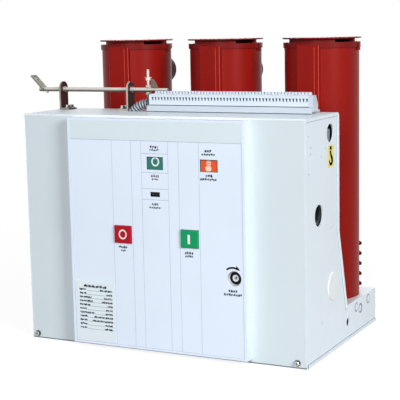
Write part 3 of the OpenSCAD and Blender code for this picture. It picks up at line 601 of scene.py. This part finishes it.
# Plugs, knock-outs and lifting marks of the side plates
# White plastic plugs close the large round holes, and a bushing's grey rim lies
# behind the access holes. Round knock-outs of the same sheet are still held in
# the base, and a yellow film marks each lifting hole.
knock_out_places = [(265.7, 54.7, 1), (290.5, 47.5, -1), (338, 56.2, 1)]
knock_out_r, gap_outer, gap_inner, gap_shift = 7, 9.8, 6.5, 1.3
gap_t, film_t, ink_t = 0.1, 0.15, 0.12
access_y, access_z, rim_gap, rim_depth = 75.5, 269.5, 8, 4.5
mark_y, mark_z = (107, 140.5), (350, 391)
hook_line = [(121.5, 381.3), (122.2, 378), (123.5, 374.4), (125.8, 371), (128.8, 367.6), (130.8, 364),
             (130.9, 360.6), (128.8, 357.7), (125.4, 356), (121.8, 356.2), (119, 358.4), (117.6, 361.4),
             (117.2, 364.6)]
hook_wide = [7.6, 7, 7, 7.8, 8.4, 8.6, 8.4, 7.4, 6, 5.6, 5.8, 5.6, 3]

plug_white = moulded("white plug", (238, 242, 245))
for node in ("left_plug", "right_plug"):
    dress(node, plug_white, 1.8, 4)


def disc_tree():
    """A low disc with a rounded rim on each point."""
    t = Tree("disc", Radius=9 * mm, Height=0.5 * mm, Material=None)
    body = add_node(t.group, "GeometryNodeMeshCylinder", Vertices=36, Radius=t.size("Radius"),
                    Depth=t.size("Height"))
    pulled = add_node(t.group, "GeometryNodeExtrudeMesh", Mesh=body.outputs["Mesh"],
                      Selection=body.outputs["Top"], Offset_Scale=t.times(t.size("Height"), 0.4))
    crowned = t.step("GeometryNodeScaleElements", Geometry=pulled.outputs["Mesh"],
                     Selection=pulled.outputs["Top"], Scale=0.94)
    return t.finish(t.placed(crowned))


def ring(name, centre, outer, inner, depth, axis="Y", squash_x=1.0, shift=0.0):
    """A flat ring a little proud of the face behind it; a shift of its hole makes it a crescent."""
    work = bmesh.new()
    steps = 48
    spots = [[], [], [], []]
    for i in range(steps):
        a = 2 * math.pi * i / steps
        for row, (r, d) in zip(spots, ((outer, 0), (outer, depth), (inner, depth), (inner, 0))):
            u, v = squash_x * r * math.cos(a) + (shift if r == inner else 0), r * math.sin(a)
            offset = (u, -d, v) if axis == "Y" else (d, u, v)
            row.append(work.verts.new(Vector([c + o for c, o in zip(centre, offset)]) * mm))
    for a, b in ((0, 1), (1, 2), (2, 3), (3, 0)):
        for i in range(steps):
            j = (i + 1) % steps
            work.faces.new((spots[a][i], spots[a][j], spots[b][j], spots[b][i]))
    bmesh.ops.recalc_face_normals(work, faces=work.faces)
    return built(name, work)


lit_gap_paint = moulded("painted lit gap", (150, 164, 174), 0.7)
shaded_gap_paint = moulded("painted shaded gap", (84, 96, 106), 0.7)
disc = disc_tree()
sticker_film = moulded("yellow film", (240, 230, 138), 0.4, 900, 0.03, 0.03)
ink_black = moulded("black ink", (14, 16, 16), 0.7, 900, 0.02, 0.05, 0.02)
for side, word in ((-1, "left"), (1, "right")):
    face = side * half_w
    discs = grow(word + "_knock_outs", disc,
                 [(face, front_y + y + gap_shift * way, z) for y, z, way in knock_out_places],
                 (side, 0, 0), Radius=knock_out_r * mm, Height=0.4 * mm, Material=lit_side_coat)
    fit(discs)
    # The crescents in the knock-outs' gaps are painted light where they are pale and painted shade
    # where they are dark.
    for way, tone, mat in ((1, "pale", lit_gap_paint), (-1, "dark", shaded_gap_paint)):
        gaps = merged(f"{word}_{tone}_gaps", [
            ring("gap", (face - (gap_t if side < 0 else 0), front_y + y, z), gap_outer, gap_inner,
                 gap_t, "X", shift=gap_shift * towards)
            for y, z, towards in knock_out_places if towards == way])
        fit(gaps, mat)
    inside = face - rim_gap - rim_depth if side > 0 else face + rim_gap
    rim = ring(word + "_access_rim", (inside, front_y + access_y, access_z), 18.6, 16.6, rim_depth, "X")
    fit(rim, hanger_grey)
    low, high = sorted((face, face + side * film_t))
    film = plates(word + "_lifting_mark", [((low, front_y + mark_y[0], mark_z[0]),
                                            (high, front_y + mark_y[1], mark_z[1]))])
    fit(film, sticker_film)
    ink_face = face + side * film_t - (ink_t if side < 0 else 0)
    hook = merged(word + "_hook", [
        stroke("hook", [(front_y + y, z) for y, z in hook_line], 5, ink_t, ink_face, "X", hook_wide),
        stroke("eye", [(front_y + 118.4, 386.4), (front_y + 128.8, 385.4)], 6.4, ink_t, ink_face, "X")])
    fit(hook, ink_black)


# The raised front panel
# A shallow tray of the same sheet with a cool white coat and a low rim. Fine
# grey lines divide its face into columns with small printed captions. A header
# band and a rating plate of thin film lie on it.
panel_coat = powder_coat("white powder coat", (225, 236, 251), (226, 237, 242), 0.38, 0.1)
line_ink = moulded("grey line", (176, 190, 206), 0.5, 900, 0.02)
ink_grey = moulded("grey ink", (38, 42, 50), 0.6, 900, 0.02, 0.1, 0.05)
panel = dress("front_panel", panel_coat, 0.35)
# The panel's side faces take the greyer second colour: painted shade.
mark_faces(panel, lambda at, way: abs(way.x) > 0.9 and abs(at.x - 2) > 183)
panel_face = front_y - 21.2
groove = panel_face + 0.5
columns = (-86.5, -45, -23.5, 32.5, 54, 95.5)
rows = (381.4, 346, 316.1, 295.7)
left_line, right_line = -177.1, 181.1
line_foot, line_head = 12, 405
lines = plates("column_lines",
               [((x - 0.5, groove - 0.15, line_foot), (x + 0.5, groove, line_head)) for x in columns] +
               [((columns[2], groove - 0.15, z - 0.5), (columns[3], groove, z + 0.5)) for z in rows] +
               [((x - 0.35, panel_face - 0.1, 12.5), (x + 0.35, panel_face, 439.5))
                for x in (left_line, right_line)] +
               [((left_line + 0.1, panel_face - 0.1, low), (right_line - 0.1, panel_face, high))
                for low, high in ((404.1, 404.9), (12.2, 12.9))])
fit(lines, line_ink)
# A dark strip along the foot of the panel's face: painted shadow under the panel.
panel_foot_shade = plates("panel_foot_shadow", [((-181.5, front_y - 22.1, 7.6), (185.5, front_y - 22, 8.5))])
fit(panel_foot_shade, joint_shade_dark)

header_film = moulded("header film", (216, 230, 236), 0.45, 1100, 0.04, 0.012)
plate_film = moulded("rating plate", (224, 235, 241), 0.4, 1100, 0.04, 0.015)
dress("header_strip", header_film, 0.1)
dress("rating_plate", plate_film, 0.1)


def caption_tree():
    """Rows of small upright marks with gaps between groups, like print seen from far away."""
    t = Tree("caption", Pitch=0.95 * mm, Stroke=0.58 * mm, Group=5, Relief=0.06 * mm, Seed=3,
             Material=None)
    wide, tall = (t.step("GeometryNodeInputNamedAttribute", settings={"data_type": "FLOAT"}, Name=name)
                  for name in ("wide", "tall"))
    amount = t.math("FLOOR", t.math("DIVIDE", wide, t.size("Pitch")))
    copies = add_node(t.group, "GeometryNodeDuplicateElements", {"domain": "POINT"},
                      Geometry=t.size("Geometry"), Amount=amount)
    index = copies.outputs["Duplicate Index"]
    across = t.math("SUBTRACT", t.times(t.math("ADD", index, 0.5), t.size("Pitch")),
                    t.times(wide, 0.5))
    order = t.step("GeometryNodeInputIndex")

    def draw(low, high, shift=0):
        """A random value for each mark, with a seed of its own."""
        seed = t.math("ADD", t.size("Seed"), shift) if shift else t.size("Seed")
        return t.step("FunctionNodeRandomValue", 1, {"data_type": "FLOAT"}, i2=low, i3=high, i7=order,
                      i8=seed)

    rise = t.times(draw(-0.2, 0.2), tall)
    spread = t.step("GeometryNodeSetPosition", Geometry=copies.outputs["Geometry"],
                    Offset=t.vector(across, 0.0, rise))
    kept = t.math("LESS_THAN", t.math("MODULO", index, t.size("Group")),
                  t.math("SUBTRACT", t.size("Group"), 1))
    height, width = t.times(draw(0.45, 1.0, 5), tall), draw(0.9, 2.4, 9)
    mark = t.step("GeometryNodeMeshCube", Size=t.vector(t.size("Stroke"), t.size("Relief"), 1.0))
    marks = t.step("GeometryNodeInstanceOnPoints", Points=spread, Selection=kept, Instance=mark,
                   Scale=t.vector(width, 1.0, height))
    return t.finish(marks)


def captions(name, rows_at, face, **values):
    """Printed rows on a face, each with its middle in x and z, its width and its letters' height."""
    mesh = bpy.data.meshes.new(name)
    mesh.from_pydata([Vector((x, face, z)) * mm for x, z, w, h in rows_at], [], [])
    for key, at in (("wide", 2), ("tall", 3)):
        told = mesh.attributes.new(key, "FLOAT", "POINT")
        told.data.foreach_set("value", [row[at] * mm for row in rows_at])
    return run_tree(name, caption, mesh, None, {"Material": ink_grey, **values})


caption = caption_tree()
panel_words = captions("panel_captions", [
    (4.5, 393.6, 17, 4.8), (4.7, 388.2, 20, 3.8), (5.2, 340.1, 16.5, 4.8), (5.6, 334, 14, 3.6),
    (4.8, 287.4, 14.4, 5), (4.4, 281.2, 25, 3.6), (115, 389.5, 14, 4.8), (115.2, 383.2, 27, 3.8),
    (116.2, 344.8, 14, 5), (115.3, 338.2, 34, 4.2), (-67, 202.6, 18.5, 5), (-66.5, 196, 11, 4.2),
    (72.6, 200.8, 18, 5), (72.8, 194.4, 16.5, 4.4), (160.9, 136.6, 19.6, 4.8), (160.2, 130, 37, 4.8)],
    panel_face - 0.02, Seed=3)
fit(panel_words)

plate_front = front_y - 21.8
row_top, row_foot = 112.6, 37.4
plate_rows = [row_top - i * (row_top - row_foot) / 10 for i in range(11)]
left_widths = (16, 16, 27, 30, 24, 16, 33, 17, 16, 16, 15)
right_widths = (28, 13, 19, 24, 12, 15, 17, 42, 46, 18, 19)
plate_words = captions("rating_plate_rows",
    [(-131, 121, 52, 5.4)] +
    [(-167 + w / 2, z + 1.7, w, 3.9) for z, w in zip(plate_rows, left_widths)] +
    [(-93.5 - w / 2, z + 1.3, w, 3.5) for z, w in zip(plate_rows, right_widths)],
    plate_front - 0.02, Seed=11, Stroke=0.6 * mm, Group=9)
fit(plate_words)
plate_rules = plates("rating_plate_rules", [((-150, plate_front - 0.08, z - 0.7),
                                             (-93, plate_front, z - 0.25)) for z in plate_rows])
fit(plate_rules, ink_grey)


# Push-buttons
# Square moulded caps, red with a printed ring for off and green with a printed
# bar for on. Each slides in its own opening of the panel.
button_front = front_y - 25
red_cap = moulded("red button", (172, 16, 38), 0.36, 500, 0.04, 0.03, 0.16)
green_cap = moulded("green button", (16, 150, 96), 0.36, 500, 0.04, 0.03, 0.16)
print_white = moulded("white print", (238, 240, 240), 0.4, 700, 0.03, 0.01)
off_body, on_body = body_of_node["off_button"], body_of_node["on_button"]
dress("off_button", red_cap, 0.5)
dress("on_button", green_cap, 0.5)
off_ring = ring("off_mark", (-64.9, button_front, 227.5), 9.2, 6.7, ink_t, squash_x=0.92)
fit(off_ring, print_white, off_body)
on_bar = plates("on_mark", [((72, button_front - ink_t, 218.2), (76.7, button_front, 235.4))])
fit(on_bar, print_white, on_body)


# Windows of the panel
# Printed plates behind openings of the panel: the contact position, the state
# of the spring, and a counter with number drums. A dark frame of painted shade
# lines the walls of the position and spring windows, thicker at the top and left.
window_back = front_y - 19.2
window_shade_black = moulded("painted window shade", (58, 74, 82), 0.6)
teal = moulded("dark green print", (46, 118, 106), 0.45, 700, 0.03, 0.03)
orange = moulded("orange print", (228, 86, 42), 0.45, 700, 0.03, 0.03)
peach = moulded("peach print", (250, 214, 190), 0.5, 700, 0.03, 0.02)
counter_black = moulded("counter black", (12, 13, 15), 0.5, 500, 0.05, 0.05, 0.05)
dress("position_indicator", teal, 0.1)
dress("spring_indicator", orange, 0.1)
dress("operation_counter", counter_black, 0.1)


def window_shade_frame(name, x, z, w, h, t=0.9):
    """A thin dark frame on the walls of a window: painted shade, thicker at the top and left."""
    near, far = panel_face + 0.3, window_back - 0.05
    l, r, b, u = x - w / 2, x + w / 2, z - h / 2, z + h / 2
    return plates(name, [((l, near, b), (l + t, far, u)), ((r - t * 0.5, near, b), (r, far, u)),
                         ((l + t, near, b), (r - t * 0.5, far, b + t * 0.6)),
                         ((l + t, near, u - t), (r - t * 0.5, far, u))])


edges = merged("window_shade_frames", [window_shade_frame("edge", 5.5, 363.7, 34, 24),
                                window_shade_frame("edge", 116, 362.7, 35.5, 22.5, 1.3)])
fit(edges, window_shade_black)
position_ring = ring("position_mark", (5.5, window_back, 366.6), 8.8, 5.9, ink_t, squash_x=0.93)
fit(position_ring, print_white)


def blob(name, outline, face, depth=ink_t):
    """A flat printed shape from its outline."""
    work = bmesh.new()
    front = [work.verts.new(Vector((x, face - depth, z)) * mm) for x, z in outline]
    cover = work.faces.new(front)
    skirt = bmesh.ops.extrude_face_region(work, geom=[cover])
    for v in skirt["geom"]:
        if isinstance(v, bmesh.types.BMVert):
            v.co.y = face * mm
    bmesh.ops.recalc_face_normals(work, faces=work.faces)
    return built(name, work)


def circle(x, z, across, up, steps):
    """The outline of a circle or an ellipse, from its middle and its two half sizes."""
    return [(x + across * math.cos(a), z + up * math.sin(a))
            for a in [2 * math.pi * i / steps for i in range(steps)]]


coil_x, weight_foot = 115.1, 352.8
coil = [blob("coil", [(coil_x - half, z - 1.2), (coil_x + half, z - 0.6),
                      (coil_x + half, z + 1.3), (coil_x - half, z + 0.7)], window_back)
        for z, half in ((371.6, 3.2), (368.6, 4.7), (365.6, 4.3), (362.9, 3.4))]
weight = blob("weight", [(x, max(z, weight_foot)) for x, z in circle(114.2, 357.8, 6.1, 5.4, 40)],
              window_back)
fit(merged("spring_mark", coil + [weight]), peach)

digit_grey = moulded("digit grey", (66, 70, 74), 0.5, 700, 0.03)
digits = bpy.data.curves.new("digits", "FONT")
digits.body = "00128"
digits.size = 5 * mm
digits.align_x = "CENTER"
digits.align_y = "CENTER"
digits.space_character = 1.25
digits.extrude = 0.05 * mm
lettering = bpy.data.objects.new("digits", digits)
scene.collection.objects.link(lettering)
graph = bpy.context.evaluated_depsgraph_get()
digit_mesh = bpy.data.meshes.new_from_object(lettering.evaluated_get(graph))
bpy.data.objects.remove(lettering)
digit_mesh.transform(Matrix.Translation(Vector((4.5, panel_face + 0.92, 305.9)) * mm)
                     @ Matrix.Rotation(math.pi / 2, 4, "X"))
drum_digits = link_piece("counter_digits", digit_mesh)
fit(drum_digits, digit_grey)


# Charging socket
# A grey conical collar with a black ring at its bottom, round the end of the
# charging shaft. A printed arrow above it gives the way to turn the handle.
collar_grey = burnished_steel("pressed collar", (198, 205, 213), 0.4, 0.35, drift=0.05)
ring_black = moulded("ring black", (12, 14, 17), 0.45, 500, 0.05, 0.05, 0.1)
shaft_pale = burnished_steel("turned shaft end", (216, 219, 223), 0.4, 0.2, drift=0.05)
dress("charging_collar", collar_grey, 0.3)
dress("charging_bezel", ring_black, 0.4)
dress("charging_shaft", shaft_pale, 0.5)
seal = ring("socket_seal", (163, front_y - 14.8, 159.7), 8, 6.4, 0.5)
fit(seal, ring_black)
sweep = [(148.9, 176.2), (151.4, 177.6), (154.2, 178.8), (157.2, 179.5), (160.4, 179.8), (163.6, 179.7),
         (166.4, 179.2), (168.6, 178.4)]
arrow = merged("turn_arrow", [
    stroke("bow", sweep, 3.4, 0.1, panel_face),
    blob("tail", circle(*sweep[0], 1.7, 1.7, 20), panel_face, 0.1),
    blob("head", [(167.7, 184.4), (166.2, 176.9), (175.2, 175.2)], panel_face, 0.1)])
fit(arrow, ink_black)


# Insulating cylinders
# Cast epoxy resin, brick red and semi-gloss, with the mould's parting line on
# both sides and two painted highlights down the right edge of the front pad. The
# sheds behind, the foot and the neck are darker: painted shade. Thin caps close
# them, and short arms hold the terminals behind.
phases = (-210, 0, 210)
pole_y = 109.7
body_r = 74.6
shed_foot, neck_low = 71, 545
seam_x = 73.35
pad_highlight_bands = ((22.1, 23.05, 31.75, 32.6, 569), (13.8, 14.7, 31.02, 31.3, 567))


def cast_resin(name, colour, second=None):
    """Cast epoxy: filler specks, cloudy colour, faint marks down the mould and a thin gloss."""
    mat, tree, shader, place = start_finish(name, (1, 1, 0.35))
    specks, cloud = noise(tree, place, 520, 2, 0.6), noise(tree, place, 13, 5, 0.6)
    mix = add_node(tree, "ShaderNodeMath", {"operation": "MULTIPLY"},
                   i0=ramp(tree, cloud, 0.9, 1.08, 0.3, 0.7),
                   i1=ramp(tree, specks, 0.94, 1.05, 0.35, 0.65))
    plug(tree, shader, Base_Color=shade(tree, mix.outputs[0], colour, second),
         Roughness=ramp(tree, cloud, 0.3, 0.44, 0.3, 0.7), Normal=relief(tree, specks, 0.07, 0.1),
         Specular_IOR_Level=0.08, Coat_Weight=0.03, Coat_Roughness=0.2)
    return mat


def pole_shade(at, x):
    """Painted shade: darker resin on the sheds behind and at the foot, and halfway dark at the neck."""
    behind = at.y > pole_y + 20 and at.z < neck_low + 5
    on_shed = behind and math.hypot(at.x - x, at.y - pole_y) > body_r
    return 1 if at.z < shed_foot or on_shed else 0.5 if at.z > neck_low else 0


# Its second, darker colour is painted shade.
resin = cast_resin("red resin", (141, 23, 17), (88, 20, 24))
resin_cap = cast_resin("cap resin", (112, 24, 23))
highlight_resin = cast_resin("painted highlight resin", (214, 84, 70))
for side, x in zip(("left", "middle", "right"), phases):
    mark_faces(dress(side + "_cylinder", resin, 1.4, 3), lambda at, way: pole_shade(at, x))
    dress(side + "_cap", resin_cap, 0.7)
seams = plates("mould_seams", [((x + s * seam_x - 0.25, pole_y - 0.5, 72),
                                (x + s * seam_x + 0.25, pole_y + 0.5, 560))
                               for x in phases for s in (-1, 1)])
fit(seams, resin)
# Two bright strips down the right edge of each pad: painted highlights.
pad_highlights = plates("pad_highlights", [((x + left, front, 73), (x + right, back, top))
                                 for left, right, front, back, top in pad_highlight_bands for x in phases])
fit(pad_highlights, highlight_resin)


# Terminals
# Round copper bars, silver-plated, each with a threaded hole for the busbar
# bolt and a turned face.
plated = burnished_steel("silver plate", (214, 208, 196), 0.3, 0.95, drift=0.06)
for side in ("left", "middle", "right"):
    for level in ("upper", "lower"):
        dress(f"{side}_{level}_terminal", plated, 0.8, 3)


# Terminal strip
# Clamp terminals of off-white plastic side by side on a painted channel. Each
# has a steel cage in its wire entry and a clamp screw on top; the near-black
# mouths of the entries are painted shade.
strip_front = front_y + 95
strip_white = moulded("strip white", (208, 218, 229), 0.45, 500, 0.06, 0.02)
rail_paint = powder_coat("rail paint", (190, 199, 208), None, 0.4, 0.1)
stop_grey = moulded("stop grey", (194, 202, 214), 0.42)
left_stop_shade = moulded("painted end shade", (50, 57, 66), 0.5)
entry_shade_black = burnished_steel("painted entry shade", (22, 28, 38), 0.7, 0.1)
dress("terminal_blocks", strip_white, 0.25, 1)
dress("terminal_rail", rail_paint, 0.35)
# The left end stop is near black: painted shade at the left end of the strip.
dress("left_end_stop", left_stop_shade, 0.3)
dress("right_end_stop", stop_grey, 0.5)
row_left, block_pitch, block_n = -63.5, 6.65, 49
block_x = [row_left + block_pitch * (i + 0.5) for i in range(block_n)]


def cage_tree():
    """Painted shade in the mouth of a wire entry on each point, wide at its top and narrow at its foot.
    """
    t = Tree("cage", Wide=3.8 * mm, Tall=6.3 * mm, Deep=0.8 * mm, Taper=0.65, Shift=0.6 * mm,
             Material=None)
    body = t.step("GeometryNodeMeshCube", Size=t.vector(t.size("Wide"), t.size("Tall"), t.size("Deep")))
    place = add_node(t.group, "ShaderNodeSeparateXYZ", Vector=t.step("GeometryNodeInputPosition"))
    low = t.math("SUBTRACT", 0.5, t.math("DIVIDE", place.outputs["Y"], t.size("Tall")))
    pinch = t.times(t.times(place.outputs["X"], t.size("Taper")), low)
    slid = t.math("SUBTRACT", t.times(t.size("Shift"), low), pinch)
    return t.finish(t.placed(t.step("GeometryNodeSetPosition", Geometry=body, Offset=t.vector(slid))))


cages = grow("wire_entry_shades", cage_tree(), [(x, strip_front + 1, 474) for x in block_x], (0, -1, 0),
             Material=entry_shade_black)
fit(cages)


def slotted_tree():
    """A round screw head on each point, with a straight slot sunk into its top."""
    t = Tree("slotted screw", Radius=1.9 * mm, Height=0.8 * mm, Slot=0.55 * mm, Material=None)
    head = t.step("GeometryNodeMeshCylinder", Vertices=20, Radius=t.size("Radius"),
                  Depth=t.size("Height"))
    bar = t.step("GeometryNodeMeshCube", Size=t.vector(t.times(t.size("Radius"), 2.4),
                 t.size("Slot"), t.size("Height")))
    half = t.times(t.size("Height"), 0.5)
    cut = t.step("GeometryNodeMeshBoolean", settings={"operation": "DIFFERENCE"}, Mesh_1=head,
                 Mesh_2=t.moved(bar, z=half))
    return t.finish(t.placed(t.moved(cut, z=half)))


clamp_screws = grow("clamp_screws", slotted_tree(), [(x, strip_front + 8.2, 482.95) for x in block_x],
                    Material=zinc_bolt_and_shade)
fit(clamp_screws)
rail_screw = bolts("rail_screw", [(268.5, -67, 453)], (1, 0, 0), 5.5, 2.4, 4, 0.6, 0.4, 0.5)
fit(rail_screw)
shadow_joint = moulded("joint shadow", (72, 84, 96), 0.7)
joints_dark = plates("strip_joints", [
    ((-66, strip_front + 1, 460.6), (262, strip_front + 1.95, 462.8)),
    ((-73, strip_front - 0.12, 448.5), (268, strip_front + 0.1, 450.1))])
fit(joints_dark, shadow_joint)


# Conduit
# A corrugated plastic tube that bends from the end of the strip down through
# the top plate. Its ring crests are a pale painted highlight and its valleys near black, painted shade.
conduit_x, conduit_y, conduit_r = -73.5, -83.75, 53
conduit_sunk, conduit_sweep, conduit_lean = 2.5, math.radians(57), math.radians(45)
conduit_centre_z = box_h + conduit_r * (1 - math.cos(conduit_lean)) - conduit_r
conduit_angle = math.asin(conduit_sunk / conduit_r) + conduit_sweep


def corrugated_tree():
    """A tube along an arc, with rings that swell and shrink its wall, and a tone on its points that
    paints light on the crests and shade in the valleys.
    """
    t = Tree("corrugated", Bend=53 * mm, Angle=math.radians(60), Outer=9 * mm, Depth=1.8 * mm, Rings=9,
             Material=None)
    path = t.step("GeometryNodeCurveArc", settings={"mode": "RADIUS"}, Resolution=180,
                  Radius=t.size("Bend"), Start_Angle=0.0, Sweep_Angle=t.size("Angle"))
    part = t.step("GeometryNodeSplineParameter")
    wave = t.math("COSINE", t.times(t.times(part, t.size("Rings")), 2 * math.pi))
    soft = t.times(t.math("SUBTRACT", wave, 1), 0.5)
    width = t.math("ADD", t.size("Outer"), t.times(soft, t.size("Depth")))
    told = t.step("GeometryNodeStoreNamedAttribute", settings={"data_type": "FLOAT", "domain": "POINT"},
                  Geometry=path, Name="tone", Value=t.math("POWER", t.math("ADD", soft, 1.0), 1.2))
    profile = t.step("GeometryNodeCurvePrimitiveCircle", Resolution=32, Radius=1.0)
    return t.finish(t.step("GeometryNodeCurveToMesh", Curve=told, Profile_Curve=profile, Scale=width,
                           Fill_Caps=True))


conduit_light_and_shade = moulded("conduit painted light and shade", (14, 19, 27), 0.32, 500, 0.05, 0.05, 0.5, (168, 176, 187))
conduit = grow("conduit.shape", corrugated_tree(), [(0, 0, 0)], break_angle=60, Bend=conduit_r * mm,
               Angle=conduit_angle, Material=conduit_light_and_shade)
conduit.data.transform(Matrix.Translation(Vector((conduit_x, conduit_y, conduit_centre_z)) * mm)
                       @ Matrix.Rotation(math.pi / 2, 4, "X") @ Matrix.Rotation(math.pi / 2, 4, "Z"))
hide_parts("conduit")
fit(conduit, body=body_of_node["conduit"])


# Interlock shaft, lever and trip rod
# A drawn steel shaft, dull zinc, turns in two folded brackets. It carries a
# slotted lever on its left end, and a threaded rod with nuts on its right.
dull_zinc = burnished_steel("dull zinc", (208, 203, 196), 0.36, 0.4, (0.12, 1, 1), 420, 0.08,
                            (82, 77, 72))
lever_zinc = burnished_steel("lever zinc", (122, 122, 110), 0.38, 0.45, grain=240, drift=0.12,
                             second=(92, 92, 82))
sector_zinc = burnished_steel("sector zinc", (108, 98, 90), 0.4, 0.5, grain=240, drift=0.15)
nut_zinc = burnished_steel("nut zinc", (230, 224, 216), 0.28, 0.45, drift=0.08, second=(92, 78, 72))
brown_zinc = burnished_steel("bracket zinc", (84, 66, 62), 0.36, 0.7, drift=0.2, second=(206, 201, 195))
shaft_y, shaft_z, rod_x = -67, 489, -85.5
shaft_r, thread_r = 4.6, 2.6
lower_nuts = shaft_z + 14
foot_top = box_h + 3.5


def shaft_shade(at, way):
    """Painted shade: dark ends, and a slow change from a painted lit top of the shaft to its darker
    underside.
    """
    if math.hypot(at.y - shaft_y, at.z - shaft_z) > shaft_r and abs(way.x) > 0.5:
        return 1
    return min(1, max(0, 0.35 - 1.2 * way.z))


def rod_shade(at, way):
    """Painted shade: a grey thread, darker nuts at the shaft, and dark faces of the nuts on the left.
    """
    if math.hypot(at.x - rod_x, at.y - shaft_y) < thread_r and abs(way.z) < 0.5:
        return 0.25
    left = (1 if abs(way.z) > 0.9 else 0.3) if way.x < 0 else 0
    return max(0.45 if at.z < lower_nuts else 0, left)


mark_faces(dress("interlock_shaft", dull_zinc, 0.3), shaft_shade)
# Faces of the lever that don't face front or back take the darker second colour: painted shade.
mark_faces(dress("interlock_lever", lever_zinc, 0.4), lambda at, way: abs(way.y) < 0.5)
mark_faces(dress("trip_rod", nut_zinc, 0.35), rod_shade)
dress("sector_plate", sector_zinc, 0.3)
# The brackets' edges and the tops of their feet take the pale second colour: painted highlight,
# stronger on the right bracket.
for node, edge_highlight in (("left_bracket", 0.34), ("right_bracket", 0.7)):
    mark_faces(dress(node, brown_zinc, 0.45), lambda at, way: 0 if abs(way.x) > 0.8
               else 0.9 if way.z > 0.9 and at.z < foot_top + 2.5 else edge_highlight)
foot_bolts = bolts("bracket_bolts", [(x, y, foot_top) for x in (-269.5, -140.5) for y in (-74, -60)],
                   (0, 0, 1), 8, 4.2, 6, 0.9, 1.1, 0.3)
# The bolts' sides facing right take the dark second colour, painted shade, and their other sides a
# little of it.
mark_faces(foot_bolts, lambda at, way: 0 if way.z > 0.5 else 1 if way.x > 0.3 else 0.15)
fit(foot_bolts)


def thread_tree():
    """A thread's ridge that winds round a rod from each point along its facing."""
    t = Tree("thread", Radius=2.5 * mm, Ridge=0.22 * mm, Length=14 * mm, Turns=17.5, Material=None)
    helix = t.step("GeometryNodeCurveSpiral", Resolution=14, Rotations=t.size("Turns"),
                   Start_Radius=t.size("Radius"), End_Radius=t.size("Radius"), Height=t.size("Length"))
    ridge = t.step("GeometryNodeCurvePrimitiveCircle", Resolution=4, Radius=t.size("Ridge"))
    return t.finish(t.placed(t.step("GeometryNodeCurveToMesh", Curve=helix, Profile_Curve=ridge,
                                    Fill_Caps=True)))


thread = grow("rod_thread", thread_tree(), [(rod_x, shaft_y, shaft_z + 22.5)], break_angle=60,
              Length=17 * mm, Turns=21.0, Material=nut_zinc)
fit(thread, body=body_of_node["trip_rod"])

lever_x, lean = -328, math.radians(-45)
clamp_place = Matrix.Translation((lever_x, shaft_y, shaft_z)) @ Matrix.Rotation(lean, 4, "Y")
clamp_at = clamp_place @ Vector((0, 0, -5.2))
clamp_way = clamp_place.to_3x3() @ Vector((0, 0, -1))
clamp_bolt = bolts("lever_bolt", [clamp_at], clamp_way, 5.5, 3.2, 3.6, 0.6, 0.5, 0.5)
fit(clamp_bolt, body=body_of_node["interlock_lever"])
